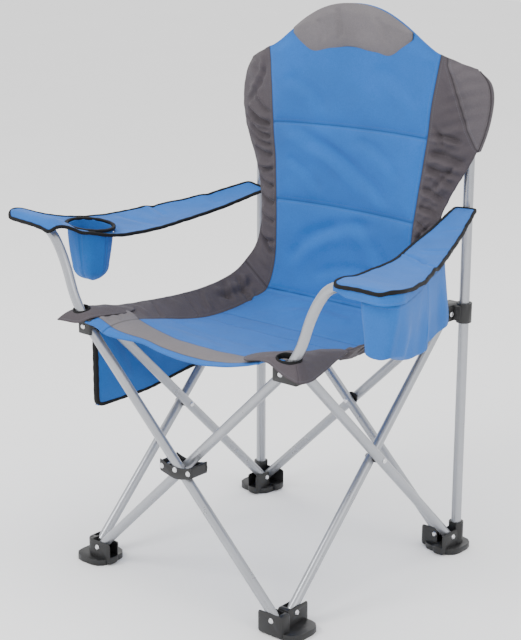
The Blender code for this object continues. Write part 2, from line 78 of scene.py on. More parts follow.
# the chair's own measures, as the frame has them
pivotHalf = 0.222
pivotLow = 0.030
pivotHigh = 0.4675
pivotMid = (pivotLow + pivotHigh) / 2
frontInner = pivotHalf + 0.0205
frontOuter = pivotHalf + 0.0410
planeInner = pivotHalf
planeOuter = pivotHalf + 0.0215
uprightAt = pivotHalf + 0.0240
tubeRadius = 0.0090


# ---- shapes on grids ----

def through(rows, knots, t):
    # a smooth curve through the rows: cubic Hermite pieces whose slopes come from the neighbouring rows
    rows = np.asarray(rows, float)
    knots = np.asarray(knots, float)
    slopes = np.gradient(rows, knots, axis=0)
    t = np.asarray(t, float)
    i = np.clip(np.searchsorted(knots, t, side="right") - 1, 0, len(knots) - 2)
    width = (knots[i + 1] - knots[i])[..., None]
    s = (t - knots[i])[..., None] / width
    return (
        (2 * s**3 - 3 * s**2 + 1) * rows[i]
        + (s**3 - 2 * s**2 + s) * width * slopes[i]
        + (3 * s**2 - 2 * s**3) * rows[i + 1]
        + (s**3 - s**2) * width * slopes[i + 1]
    )


def smooth(t):
    # rises from 0 to 1 with no slope at either end
    t = np.clip(t, 0.0, 1.0)
    return t * t * (3 - 2 * t)


def gridNormals(grid):
    # the unit normal at each grid point: the cross product of the steps along the row and up the rows
    across = np.gradient(grid, axis=1)
    along = np.gradient(grid, axis=0)
    normal = np.cross(across, along)
    return normal / np.maximum(np.linalg.norm(normal, axis=-1, keepdims=True), 1e-12)


def gridMesh(name, grid, material, uv=None, facts=None, ringed=False, capped=False, flip=False):
    # one face for each cell of the grid; a ringed grid joins its last column to its first, and caps close
    # its ends
    rows, columns = grid.shape[:2]
    index = np.arange(rows * columns).reshape(rows, columns)
    right = np.roll(index, -1, axis=1) if ringed else index[:, 1:]
    left = index if ringed else index[:, :-1]
    quads = np.stack([left[:-1], right[:-1], right[1:], left[1:]], axis=-1).reshape(-1, 4)
    faces = quads[:, ::-1] if flip else quads
    corners = faces.reshape(-1)
    starts = np.arange(0, len(corners), 4)
    totals = np.full(len(starts), 4)
    if capped:
        ends = [index[0][::-1], index[-1]]
        if flip:
            ends = [ring[::-1] for ring in ends]
        starts = np.concatenate([starts, [len(corners), len(corners) + columns]])
        totals = np.concatenate([totals, [columns, columns]])
        corners = np.concatenate([corners, ends[0], ends[1]])
    mesh = bpy.data.meshes.new(name)
    mesh.vertices.add(rows * columns)
    mesh.vertices.foreach_set("co", grid.reshape(-1).astype(np.float32))
    mesh.loops.add(len(corners))
    mesh.loops.foreach_set("vertex_index", corners.astype(np.int32))
    mesh.polygons.add(len(starts))
    mesh.polygons.foreach_set("loop_start", starts.astype(np.int32))
    mesh.polygons.foreach_set("loop_total", totals.astype(np.int32))
    mesh.polygons.foreach_set("use_smooth", np.ones(len(starts), bool))
    mesh.update(calc_edges=True)
    if uv is not None:
        layer = mesh.uv_layers.new(name="cloth")
        layer.data.foreach_set("uv", uv.reshape(-1, 2)[corners].reshape(-1).astype(np.float32))
    for fact, values in (facts or {}).items():
        stored = mesh.attributes.new(fact, "FLOAT", "POINT")
        stored.data.foreach_set("value", values.reshape(-1).astype(np.float32))
    item = bpy.data.objects.new(name, mesh)
    scene.collection.objects.link(item)
    mesh.materials.append(material)
    return item


def thicken(item, thickness, offset=-1.0):
    wall = item.modifiers.new("wall", "SOLIDIFY")
    wall.thickness = thickness
    wall.offset = offset
    wall.use_even_offset = False
    return item


def lengthsAlong(path):
    # the distance run along a path at each of its points
    steps = np.linalg.norm(np.diff(path, axis=0), axis=1)
    return np.concatenate([[0.0], np.cumsum(steps)])


def metresOver(grid, axis):
    # the distance run along one direction of a grid, from zero at its first row or column
    steps = np.linalg.norm(np.diff(grid, axis=axis), axis=-1)
    start = np.zeros_like(np.take(steps, [0], axis=axis))
    return np.cumsum(np.concatenate([start, steps], axis=axis), axis=axis)


def evenly(path, count):
    # the path walked in equal steps
    run = lengthsAlong(path)
    at = np.linspace(0, run[-1], count)
    return np.stack([np.interp(at, run, path[:, k]) for k in range(path.shape[1])], axis=1)


def carried(path, profile, up, closed=False):
    # a profile of (side, up) offsets carried along a path; side is the travel direction crossed with up
    path = np.asarray(path, float)
    if closed:
        travel = np.roll(path, -1, axis=0) - np.roll(path, 1, axis=0)
    else:
        travel = np.gradient(path, axis=0)
    travel /= np.linalg.norm(travel, axis=1, keepdims=True)
    up = np.broadcast_to(np.asarray(up, float), path.shape)
    side = np.cross(travel, up)
    side /= np.linalg.norm(side, axis=1, keepdims=True)
    lifted = np.cross(side, travel)
    profile = np.asarray(profile, float)
    return path[:, None] + side[:, None] * profile[None, :, :1] + lifted[:, None] * profile[None, :, 1:]


def roundProfile(width, height, count=16, power=2.6):
    # a rounded rectangle: cosine and sine raised to a power below one, with their signs kept
    turn = np.linspace(0, math.tau, count, endpoint=False)
    c, s = np.cos(turn), np.sin(turn)
    return np.stack(
        [
            np.sign(c) * np.abs(c) ** (2 / power) * width / 2,
            np.sign(s) * np.abs(s) ** (2 / power) * height / 2,
        ],
        axis=1,
    )


noiseDice = np.random.default_rng(11)
noiseTurns = noiseDice.uniform(0, math.tau, 64)
noiseHeads = noiseDice.uniform(0, math.tau, 64)


def ripples(p, q, size, layers=7, start=0):
    # a smooth field between -1 and 1: sine waves of about one size, each with its own heading and start
    total = np.zeros_like(p)
    for k in range(layers):
        heading = noiseHeads[(start + k) % 64]
        wave = 1 / (size * (0.7 + 0.12 * k))
        total += np.sin(
            math.tau * wave * (p * math.cos(heading) + q * math.sin(heading))
            + noiseTurns[(start + k * 3) % 64]
        )
    return total / layers


def creased(p, q, folds):
    # each fold is a soft groove along a line: a bell across it, fading to nothing at both ends
    total = np.zeros_like(p)
    for p0, q0, p1, q1, width, depth in folds:
        run = math.hypot(p1 - p0, q1 - q0)
        along = ((p - p0) * (p1 - p0) + (q - q0) * (q1 - q0)) / run**2
        off = ((p - p0) * (q1 - q0) - (q - q0) * (p1 - p0)) / run
        bow = off + 0.08 * run * np.sin(math.pi * np.clip(along, 0, 1))
        bell = np.exp(-((bow / width) ** 2)) - 0.55 * np.exp(-(((bow - 1.9 * width) / (1.2 * width)) ** 2))
        total += depth * bell * smooth(along * 5 + 0.2) * smooth((1 - along) * 5 + 0.2)
    return total


# ---- finishes ----

def nodeMaker(material):
    tree = material.node_tree

    def add(kind, inputs=None, **settings):
        made = tree.nodes.new(kind)
        for key, value in settings.items():
            setattr(made, key, value)
        for key, value in (inputs or {}).items():
            if isinstance(value, bpy.types.NodeSocket):
                tree.links.new(value, made.inputs[key])
            else:
                made.inputs[key].default_value = value
        return made

    return add


def mathNode(add, operation, first, second=None):
    inputs = {0: first}
    if second is not None:
        inputs[1] = second
    return add("ShaderNodeMath", inputs, operation=operation).outputs[0]


def mixColour(add, share, first, second):
    made = add("ShaderNodeMix", {"Factor": share, "A": first, "B": second}, data_type="RGBA")
    return made.outputs["Result"]


def newFinish(name):
    material = bpy.data.materials.new(name)
    material.use_nodes = True
    material.node_tree.nodes.clear()
    add = nodeMaker(material)
    shader = add("ShaderNodeBsdfPrincipled")
    add("ShaderNodeOutputMaterial", {"Surface": shader.outputs[0]})
    return material, add, shader


def clothFinish(name, colour, zones=(), seams=True, rough=0.82, sheen=0.06, weave=0.0011):
    # woven cloth: two crossed ridges for the weave, slow blotches of tone, painted shade that darkens the
    # colour along the seams, and thread beside the seams
    # zones are (attribute, colour) pairs, each laid over the last where its attribute is above zero
    material, add, shader = newFinish(name)
    place = add("ShaderNodeTexCoord").outputs["Object"]
    cloth = add("ShaderNodeUVMap", uv_map="cloth").outputs["UV"]
    apart = add("ShaderNodeSeparateXYZ", {0: cloth})
    warp = mathNode(add, "SINE", mathNode(add, "MULTIPLY", apart.outputs[0], math.tau / weave))
    weft = mathNode(add, "SINE", mathNode(add, "MULTIPLY", apart.outputs[1], math.tau / weave))
    threads = mathNode(add, "MULTIPLY", warp, weft)
    blotch = add(
        "ShaderNodeTexNoise", {"Vector": place, "Scale": 9.0, "Detail": 4.0, "Roughness": 0.6}
    ).outputs["Fac"]
    fine = add("ShaderNodeTexNoise", {"Vector": place, "Scale": 420.0, "Detail": 3.0}).outputs["Fac"]
    result = None
    for attribute, tint in (("", colour),) + tuple(zones):
        if not attribute:
            result = add("ShaderNodeRGB")
            result.outputs[0].default_value = (*tint, 1)
            result = result.outputs[0]
            continue
        value = add("ShaderNodeAttribute", attribute_name=attribute).outputs["Fac"]
        edge = mathNode(add, "GREATER_THAN", value, 0.0)
        result = mixColour(add, edge, result, (*tint, 1))
    tone = add("ShaderNodeMapRange", {"Value": blotch, 1: 0.3, 2: 0.7, 3: 0.90, 4: 1.10}).outputs[0]
    speck = add("ShaderNodeMapRange", {"Value": fine, 1: 0.3, 2: 0.7, 3: 0.93, 4: 1.07}).outputs[0]
    weaveTone = add("ShaderNodeMapRange", {"Value": threads, 1: -1.0, 2: 1.0, 3: 0.95, 4: 1.05}).outputs[0]
    shade = mathNode(add, "MULTIPLY", mathNode(add, "MULTIPLY", tone, speck), weaveTone)
    if seams:
        seam = mathNode(add, "ABSOLUTE", add("ShaderNodeAttribute", attribute_name="seam").outputs["Fac"])
        if any(attribute == "sleeve" for attribute, tint in zones):
            other = mathNode(
                add, "ABSOLUTE", add("ShaderNodeAttribute", attribute_name="sleeve").outputs["Fac"]
            )
            seam = mathNode(add, "MINIMUM", seam, other)
        # painted shade: the colour darkens to 0.55 at each seam line, standing in for the shade in the dip
        # between padded panels
        seamShade = add("ShaderNodeMapRange", {"Value": seam, 1: 0.0004, 2: 0.0022, 3: 0.55, 4: 1.0}).outputs[0]
        shade = mathNode(add, "MULTIPLY", shade, seamShade)
    if seams:
        beside = mathNode(add, "ABSOLUTE", mathNode(add, "SUBTRACT", seam, 0.0052))
        line = mathNode(add, "LESS_THAN", beside, 0.00045)
        run = add("ShaderNodeAttribute", attribute_name="thread").outputs["Fac"]
        dash = mathNode(add, "LESS_THAN", mathNode(add, "FRACT", mathNode(add, "DIVIDE", run, 0.0034)), 0.66)
        thread = mathNode(add, "MULTIPLY", line, dash)
    else:
        thread = None
    tinted = add("ShaderNodeVectorMath", {0: result, "Scale": shade}, operation="SCALE").outputs[0]
    if thread is not None:
        tinted = mixColour(add, mathNode(add, "MULTIPLY", thread, 0.22), tinted, (0.16, 0.18, 0.22, 1))
    tree = material.node_tree
    tree.links.new(tinted, shader.inputs["Base Color"])
    shader.inputs["Sheen Weight"].default_value = sheen
    shader.inputs["Sheen Roughness"].default_value = 0.5
    shader.inputs["Specular IOR Level"].default_value = 0.22
    wear = add(
        "ShaderNodeMapRange", {"Value": blotch, 1: 0.3, 2: 0.7, 3: rough - 0.07, 4: rough + 0.05}
    ).outputs[0]
    tree.links.new(wear, shader.inputs["Roughness"])
    crumple = add(
        "ShaderNodeTexNoise", {"Vector": place, "Scale": 34.0, "Detail": 5.0, "Roughness": 0.55}
    ).outputs["Fac"]
    low = add("ShaderNodeBump", {"Height": crumple, "Strength": 0.22, "Distance": 0.004}).outputs[0]
    height = mathNode(add, "ADD", threads, mathNode(add, "MULTIPLY", fine, 0.8))
    if thread is not None:
        height = mathNode(add, "ADD", height, mathNode(add, "MULTIPLY", thread, 3.0))
    bump = add("ShaderNodeBump", {"Height": height, "Normal": low, "Strength": 0.30, "Distance": 0.00022})
    tree.links.new(bump.outputs[0], shader.inputs["Normal"])
    return material


def tubeFinish():
    # satin silver powder coat: slight orange peel, tiny flecks, and faint scuffs that change the gloss
    material, add, shader = newFinish("silverCoat")
    place = add("ShaderNodeTexCoord").outputs["Object"]
    peel = add("ShaderNodeTexNoise", {"Vector": place, "Scale": 300.0, "Detail": 2.0}).outputs["Fac"]
    fleck = add("ShaderNodeTexNoise", {"Vector": place, "Scale": 1500.0, "Detail": 1.0}).outputs["Fac"]
    scuff = add(
        "ShaderNodeTexNoise", {"Vector": place, "Scale": 14.0, "Detail": 6.0, "Roughness": 0.65}
    ).outputs["Fac"]
    tone = mathNode(
        add,
        "MULTIPLY",
        add("ShaderNodeMapRange", {"Value": fleck, 1: 0.3, 2: 0.7, 3: 0.94, 4: 1.06}).outputs[0],
        add("ShaderNodeMapRange", {"Value": scuff, 1: 0.3, 2: 0.72, 3: 0.93, 4: 1.04}).outputs[0],
    )
    colour = add(
        "ShaderNodeVectorMath", {0: (0.36, 0.37, 0.395), "Scale": tone}, operation="SCALE"
    ).outputs[0]
    tree = material.node_tree
    tree.links.new(colour, shader.inputs["Base Color"])
    gloss = add("ShaderNodeMapRange", {"Value": scuff, 1: 0.3, 2: 0.75, 3: 0.25, 4: 0.36}).outputs[0]
    tree.links.new(gloss, shader.inputs["Roughness"])
    shader.inputs["Metallic"].default_value = 0.72
    bump = add("ShaderNodeBump", {"Height": peel, "Strength": 0.10, "Distance": 0.0003})
    tree.links.new(bump.outputs[0], shader.inputs["Normal"])
    return material


def plasticFinish():
    # moulded black plastic: fine spark texture, dusty scuffs on the outer surfaces
    material, add, shader = newFinish("mouldedBlack")
    place = add("ShaderNodeTexCoord").outputs["Object"]
    grain = add("ShaderNodeTexNoise", {"Vector": place, "Scale": 900.0, "Detail": 2.0}).outputs["Fac"]
    dust = add(
        "ShaderNodeTexNoise", {"Vector": place, "Scale": 60.0, "Detail": 6.0, "Roughness": 0.7}
    ).outputs["Fac"]
    share = add("ShaderNodeMapRange", {"Value": dust, 1: 0.45, 2: 0.8, 3: 0.0, 4: 0.35}).outputs[0]
    colour = mixColour(add, share, (0.0050, 0.0050, 0.0056, 1), (0.022, 0.022, 0.024, 1))
    tree = material.node_tree
    tree.links.new(colour, shader.inputs["Base Color"])
    gloss = add("ShaderNodeMapRange", {"Value": dust, 1: 0.35, 2: 0.7, 3: 0.34, 4: 0.52}).outputs[0]
    tree.links.new(gloss, shader.inputs["Roughness"])
    bump = add("ShaderNodeBump", {"Height": grain, "Strength": 0.22, "Distance": 0.0002})
    tree.links.new(bump.outputs[0], shader.inputs["Normal"])
    return material


def rivetFinish():
    # zinc plate: bright, with a cloudy roughness and a few duller patches
    material, add, shader = newFinish("zincRivet")
    place = add("ShaderNodeTexCoord").outputs["Object"]
    cloud = add("ShaderNodeTexNoise", {"Vector": place, "Scale": 240.0, "Detail": 5.0}).outputs["Fac"]
    colour = mixColour(add, cloud, (0.52, 0.52, 0.54, 1), (0.80, 0.80, 0.82, 1))
    tree = material.node_tree
    tree.links.new(colour, shader.inputs["Base Color"])
    gloss = add("ShaderNodeMapRange", {"Value": cloud, 1: 0.3, 2: 0.7, 3: 0.22, 4: 0.40}).outputs[0]
    tree.links.new(gloss, shader.inputs["Roughness"])
    shader.inputs["Metallic"].default_value = 0.9
    return material


blue = (0.016, 0.112, 0.385)
darkGrey = (0.062, 0.053, 0.060)
# painted light: a lighter grey for the right wing's shoulder only, the lit look of that side; the left
# shoulder keeps the wing's dark grey
sleeveLitGrey = (0.088, 0.078, 0.086)
midGrey = (0.135, 0.124, 0.131)
blackTape = (0.0045, 0.0045, 0.0052)

slingCloth = clothFinish(
    "slingCloth", blue, (("wing", darkGrey), ("sleeve", sleeveLitGrey), ("band", midGrey), ("hem", blue))
)
greyCloth = clothFinish("greyCloth", midGrey)
wingCloth = clothFinish("wingCloth", darkGrey)
blueCloth = clothFinish("blueCloth", blue)
tapeCloth = clothFinish("tapeCloth", blackTape, seams=False, rough=0.74, sheen=0.0, weave=0.0016)
silverCoat = tubeFinish()
mouldedBlack = plasticFinish()
zincRivet = rivetFinish()
print("finishes made")


# ---- camera, light and floor ----

camera = {
    "place": (1.9169, -2.2913, 1.3447),
    "turn": 40.476,
    "drop": 16.483,
    "roll": 0.139,
    "lens": 95.55,
}
turn, drop, roll = (math.radians(camera[k]) for k in ("turn", "drop", "roll"))
backward = Vector((math.sin(turn) * math.cos(drop), -math.cos(turn) * math.cos(drop), math.sin(drop)))
sideways = Vector((math.cos(turn), math.sin(turn), 0.0))
upward = backward.cross(sideways)
cameraData = bpy.data.cameras.new("camera")
cameraData.lens = camera["lens"]
cameraData.sensor_width = 36.0
cameraData.clip_end = 60.0
cameraItem = bpy.data.objects.new("camera", cameraData)
columns = (
    sideways * math.cos(roll) + upward * math.sin(roll),
    upward * math.cos(roll) - sideways * math.sin(roll),
    backward,
    Vector(camera["place"]),
)
cameraItem.matrix_world = Matrix([[column[k] for column in columns] for k in range(3)]).to_4x4()
scene.collection.objects.link(cameraItem)
scene.camera = cameraItem

floorFinish, add, shader = newFinish("paleFloor")
place = add("ShaderNodeTexCoord").outputs["Object"]
mottle = add("ShaderNodeTexNoise", {"Vector": place, "Scale": 2.0, "Detail": 2.0}).outputs["Fac"]
floorFinish.node_tree.links.new(
    mixColour(add, mottle, (0.90, 0.90, 0.90, 1), (0.93, 0.93, 0.93, 1)), shader.inputs["Base Color"]
)
shader.inputs["Roughness"].default_value = 0.9
shader.inputs["Specular IOR Level"].default_value = 0.1
reach = np.linspace(-9, 9, 3)
floorGrid = np.stack(np.broadcast_arrays(reach[None, :], reach[:, None], -0.0006), axis=-1)
gridMesh("floor", floorGrid, floorFinish)

world = bpy.data.worlds.new("studio")
world.use_nodes = True
world.node_tree.nodes["Background"].inputs[0].default_value = (1.0, 1.0, 1.0, 1)
world.node_tree.nodes["Background"].inputs[1].default_value = 1.55
scene.world = world


def softLight(name, place, aim, size, power):
    data = bpy.data.lights.new(name, "AREA")
    data.shape = "DISK"
    data.size = size
    data.energy = power
    item = bpy.data.objects.new(name, data)
    item.location = place
    item.rotation_euler = (Vector(aim) - Vector(place)).to_track_quat("-Z", "Y").to_euler()
    scene.collection.objects.link(item)


softLight("key", (-1.2, -2.6, 2.9), (0, 0, 0.55), 1.6, 70)
softLight("fill", (3.2, -1.2, 1.7), (0, 0, 0.5), 2.2, 24)
softLight("top", (0.2, 0.6, 3.4), (0, 0, 0.5), 2.4, 42)
print("camera, light and floor set")


# ---- frame: tubes, plastic fittings, rivets ----

def bentPath(corners, radius, steps=8):
    # the corners joined by straight runs, each inner corner rounded by a quadratic Bezier arc
    corners = [np.asarray(c, float) for c in corners]
    path = [corners[0]]
    for before, here, after in zip(corners, corners[1:], corners[2:]):
        first = (
            here
            + (before - here) / np.linalg.norm(before - here) * min(
                radius, 0.45 * np.linalg.norm(before - here)
            )
        )
        last = (
            here
            + (after - here) / np.linalg.norm(after - here) * min(radius, 0.45 * np.linalg.norm(after - here))
        )
        t = np.linspace(0, 1, steps)[:, None]
        path += list((1 - t) ** 2 * first + 2 * t * (1 - t) * here + t**2 * last)
    return np.array(path + [corners[-1]])


tubeShape = {"sides": 28, "over": 0.0065, "tipRound": 0.004}


def tubePiece(node, corners, radius, up, bend=0.05):
    # a circle carried along the bent path, and its two ends round off
    path = bentPath(corners, bend)
    run = lengthsAlong(path)
    count = int(run[-1] / 0.006)
    near = tubeShape["tipRound"]
    rounding = np.sin(np.linspace(0, math.pi / 2, 5))
    at = np.concatenate(
        [
            near * (1 - rounding[::-1]),
            np.linspace(near, run[-1] - near, count)[1:-1],
            run[-1] - near * (1 - rounding),
        ]
    )
    path = np.stack([np.interp(at, run, path[:, k]) for k in range(3)], axis=1)
    fromEnd = np.minimum(at, run[-1] - at)
    dome = np.sqrt(np.clip(1 - (1 - np.clip(fromEnd / near, 0, 1)) ** 2, 0.0, 1.0))
    dome = 0.55 + 0.45 * dome
    dome = np.where(fromEnd < 1e-9, 0.30, dome)
    turnAngles = np.linspace(0, math.tau, tubeShape["sides"], endpoint=False)
    ring = np.stack([np.cos(turnAngles), np.sin(turnAngles)], axis=1) * radius
    grid = carried(path, ring, up)
    centre = path[:, None]
    grid = centre + (grid - centre) * dome[:, None, None]
    item = gridMesh(node + "_coated", grid, silverCoat, ringed=True, capped=True)
    body = frame["nodes"][node]["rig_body"]
    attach(item, body)
    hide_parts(node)
    return item


def leaning(low, high):
    # a straight tube a little past both of its pivots
    low, high = np.array(low), np.array(high)
    step = (high - low) / np.linalg.norm(high - low) * tubeShape["over"]
    return [low - step, high + step]


def postCorners(side, plane):
    lowEnd = leaning((-side * pivotHalf, -plane, pivotLow), (side * pivotHalf, -plane, pivotHigh))[0]
    bends = ((0.0270, 0.4945), (0.0570, 0.583), (0.0940, 0.636), (0.1720, 0.638))
    return [lowEnd] + [np.array((side * (pivotHalf + out), -plane, z)) for out, z in bends]


tubePiece("front_tube_left_arm", postCorners(-1, frontOuter), tubeRadius, (0, 1, 0))
tubePiece("front_tube_right_arm", postCorners(1, frontInner), tubeRadius, (0, 1, 0))
for node, at, slope in (
    ("side_tube_right_outer", planeOuter, -1),
    ("side_tube_right_inner", planeInner, 1),
    ("side_tube_left_inner", -planeInner, -1),
    ("side_tube_left_outer", -planeOuter, 1),
):
    ends = leaning((at, -slope * pivotHalf, pivotLow), (at, slope * pivotHalf, pivotHigh))
    tubePiece(node, ends, tubeRadius, (1, 0, 0))
for node, at, slope in (("back_tube_near", planeInner, -1), ("back_tube_far", planeOuter, 1)):
    ends = leaning((-slope * pivotHalf, at, pivotLow), (slope * pivotHalf, at, pivotHigh))
    tubePiece(node, ends, tubeRadius, (0, 1, 0))
for node, side in (("rear_upright_right", 1), ("rear_upright_left", -1)):
    low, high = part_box(node)
    tubePiece(
        node, [(side * uprightAt, uprightAt, low.z), (side * uprightAt, uprightAt, high.z)], 0.0095, (0, 1, 0)
    )


def moulded(node, edge=0.0012):
    # the fitting's own shape, its loose triangles joined, flat faces made one, and its edges rounded
    source = frame["nodes"][node]
    shape = bmesh.new()
    shape.from_mesh(source.data)
    bmesh.ops.remove_doubles(shape, verts=shape.verts, dist=0.00002)
    bmesh.ops.dissolve_limit(shape, angle_limit=math.radians(1.0), verts=shape.verts, edges=shape.edges)
    mesh = bpy.data.meshes.new(node + "_moulded")
    shape.to_mesh(mesh)
    shape.free()
    item = bpy.data.objects.new(node + "_moulded", mesh)
    scene.collection.objects.link(item)
    mesh.materials.append(mouldedBlack)
    soften = item.modifiers.new("soften", "BEVEL")
    soften.width = edge
    soften.segments = 2
    soften.limit_method = "ANGLE"
    soften.angle_limit = math.radians(32)
    soften.harden_normals = True
    mesh.shade_smooth()
    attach(item, source["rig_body"])
    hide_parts(node)
    return item


fittings = [n for n in frame["nodes"] if n.startswith(("foot_", "bracket_", "collar_"))]
for node in sorted(fittings):
    moulded(node)
for node in sorted(frame["nodes"]):
    item = frame["nodes"][node]
    finishHere = None
    if node.startswith("pin_"):
        finishHere = zincRivet
    if node.startswith(("washer_", "spacer_")):
        finishHere = mouldedBlack
    if finishHere:
        item.data.materials.clear()
        item.data.materials.append(finishHere)

hub = {
    "half": 0.0365,
    "tall": 0.0270,
    "dip": 0.0085,
    "front": -(frontOuter + 0.0125),
    "rear": -(frontInner - 0.0125),
}


def hubPlate(name, y0, y1):
    # a plate whose top edge is scooped and whose bottom comes to a soft point: the outline walks over a
    # half width
    # to the right end and back, and its ring is carried straight through the plate's thickness with rounded
    # rims
    t = np.linspace(-1, 1, 33)
    top = hub["tall"] / 2 - hub["dip"] * np.cos(math.pi * t / 2) ** 1.4 - 0.002 * t**8
    bottom = -hub["tall"] / 2 + 0.0045 * np.abs(t) ** 1.5 - 0.004 * np.exp(-((t / 0.35) ** 2)) + 0.004 * t**10
    xs = hub["half"] * np.sin(t * math.pi / 2)
    outline = np.concatenate([np.stack([xs, top], axis=1), np.stack([xs, bottom], axis=1)[::-1]])
    rims = [
        (y0, 0.90),
        (y0 + 0.0005, 0.965),
        (y0 + 0.0014, 1.0),
        (y1 - 0.0014, 1.0),
        (y1 - 0.0005, 0.965),
        (y1, 0.90),
    ]
    shrink = np.array([r[1] for r in rims])
    grow = 1 - (1 - shrink)[:, None] * np.array([[0.35, 1.0]])
    grid = np.zeros((len(rims), len(outline), 3))
    grid[..., 0] = outline[None, :, 0] * grow[:, :1]
    grid[..., 2] = outline[None, :, 1] * grow[:, 1:] + pivotMid
    grid[..., 1] = np.array([r[0] for r in rims])[:, None]
    return gridMesh(name, grid, mouldedBlack, ringed=True, capped=True)


hubFront = hubPlate("hub_plate_front", hub["front"], hub["front"] + 0.0032)
hubRear = hubPlate("hub_plate_rear", hub["rear"] - 0.0032, hub["rear"])
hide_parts("cross_hub_front")
for side, name in ((-1, "hub_web_left"), (1, "hub_web_right")):
    # the web that joins the plates: a rounded bar carried from the front plate to the rear one
    path = np.stack(
        [
            np.full(7, side * (hub["half"] - 0.0036)),
            np.linspace(hub["front"] + 0.001, hub["rear"] - 0.001, 7),
            np.full(7, pivotMid),
        ],
        axis=1,
    )
    web = gridMesh(
        name,
        carried(path, roundProfile(0.0062, 0.0200, 20, 4.0), (0, 0, 1)),
        mouldedBlack,
        ringed=True,
        capped=True,
    )
    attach(web, "cross_hub")
for item in (hubFront, hubRear):
    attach(item, "cross_hub")
print("frame pieces made")


# ---- sling: seat and back in one run of cloth ----

# Each row gives the centre line (y, z), the blue field's border (x, y, z) and the outer edge (x, y, z)
sling = {
    "rows": [
        (-0.247, 0.4420, 0.170, -0.250, 0.4750, 0.214, -0.252, 0.4870),  # front hem
        (-0.236, 0.4485, 0.172, -0.238, 0.4780, 0.222, -0.240, 0.4885),
        (-0.200, 0.4525, 0.176, -0.190, 0.4710, 0.236, -0.190, 0.4840),
        (-0.100, 0.4370, 0.188, -0.095, 0.4480, 0.236, -0.090, 0.4745),
        (0.000, 0.4290, 0.182, 0.000, 0.4305, 0.231, 0.000, 0.4705),
        (0.080, 0.4350, 0.172, 0.080, 0.4345, 0.226, 0.075, 0.4740),
        (0.140, 0.4490, 0.164, 0.138, 0.4480, 0.219, 0.130, 0.4880),
        (0.167, 0.4600, 0.160, 0.163, 0.4600, 0.214, 0.158, 0.5070),  # seam between seat and back
        (0.186, 0.5000, 0.158, 0.180, 0.5000, 0.208, 0.182, 0.5330),
        (0.197, 0.5500, 0.159, 0.188, 0.5500, 0.205, 0.194, 0.5680),
        (0.203, 0.6300, 0.163, 0.193, 0.6280, 0.208, 0.202, 0.6250),
        (0.208, 0.7000, 0.170, 0.199, 0.7000, 0.230, 0.214, 0.6900),
        (0.211, 0.7900, 0.181, 0.204, 0.7860, 0.272, 0.230, 0.7700),
        (0.213, 0.8600, 0.187, 0.207, 0.8500, 0.287, 0.240, 0.8330),
        (0.215, 0.9300, 0.195, 0.212, 0.9080, 0.282, 0.243, 0.8780),
        (0.214, 1.0190, 0.199, 0.214, 0.9330, 0.262, 0.238, 0.9080),  # top edge
    ],
    "border": 0.78,  # where the blue field ends, as a share of the half width's columns
    "seatJoin": 3.9,  # the row where the seat's two halves meet
    "bandTop": 2.15,  # the light band ends here
    "hemTop": 0.95,
    "seatBack": 7.0,
    "seams": [3.05, 4.55, 7.0, 10.08, 12.0],
    "puffBack": 0.0062,
    "puffSeat": 0.0042,
    "askew": 0.0125,
    "thick": 0.0032,
}
knots = np.arange(len(sling["rows"]), dtype=float)


def slingGrid(low, high, rows, columns=(61, 23)):
    # rows run from low to high along the cloth and columns from the left edge to the right edge. Inside the
    # blue
    # field x grows evenly and y and z ease from the centre line to the border; outside it they run on to
    # the edge.
    inner = np.linspace(-sling["border"], sling["border"], columns[0])
    outer = np.linspace(sling["border"], 1, columns[1])[1:]
    u = np.concatenate([-outer[::-1], inner, outer])
    v = np.linspace(low, high, rows)
    at = through(sling["rows"], knots, v)
    centreY, centreZ, borderX, borderY, borderZ, edgeX, edgeY, edgeZ = (at[:, k][:, None] for k in range(8))
    t = np.minimum(np.abs(u) / sling["border"], 1)[None]
    s = np.clip((np.abs(u) - sling["border"]) / (1 - sling["border"]), 0, 1)[None]
    top = smooth((v - 11.5) / 3.5)[:, None]
    easeY = t**2
    easeZ = (1 - top) * t ** (2.6 - 0.7 * smooth((2 - v) / 2)[:, None]) + top * (1 - (1 - t**2.3) ** 1.5)
    x = borderX * t + (edgeX - borderX) * s
    y = centreY + (borderY - centreY) * easeY + (edgeY - borderY) * s
    z = centreZ + (borderZ - centreZ) * easeZ + (edgeZ - borderZ) * s
    seat = 1 - smooth((v - 6.2) / 1.6)[:, None]
    y = y - 0.004 * np.sin(math.pi * s) * (1 - seat)  # the wings belly out a little
    z = z + 0.003 * np.sin(math.pi * s) * seat
    # the left corner sits further forward
    forward = smooth((2.2 - v) / 2.2)[:, None] * smooth((t - 0.55) / 0.45) * (u < 0)[None]
    y = y - 0.0270 * forward
    z = z - 0.0075 * forward
    grid = np.stack([np.sign(u)[None] * x, y + 0 * x, z + 0 * x], axis=-1)
    return grid, u[None] + 0 * x, v[:, None] + 0 * x, s + 0 * x, t + 0 * x


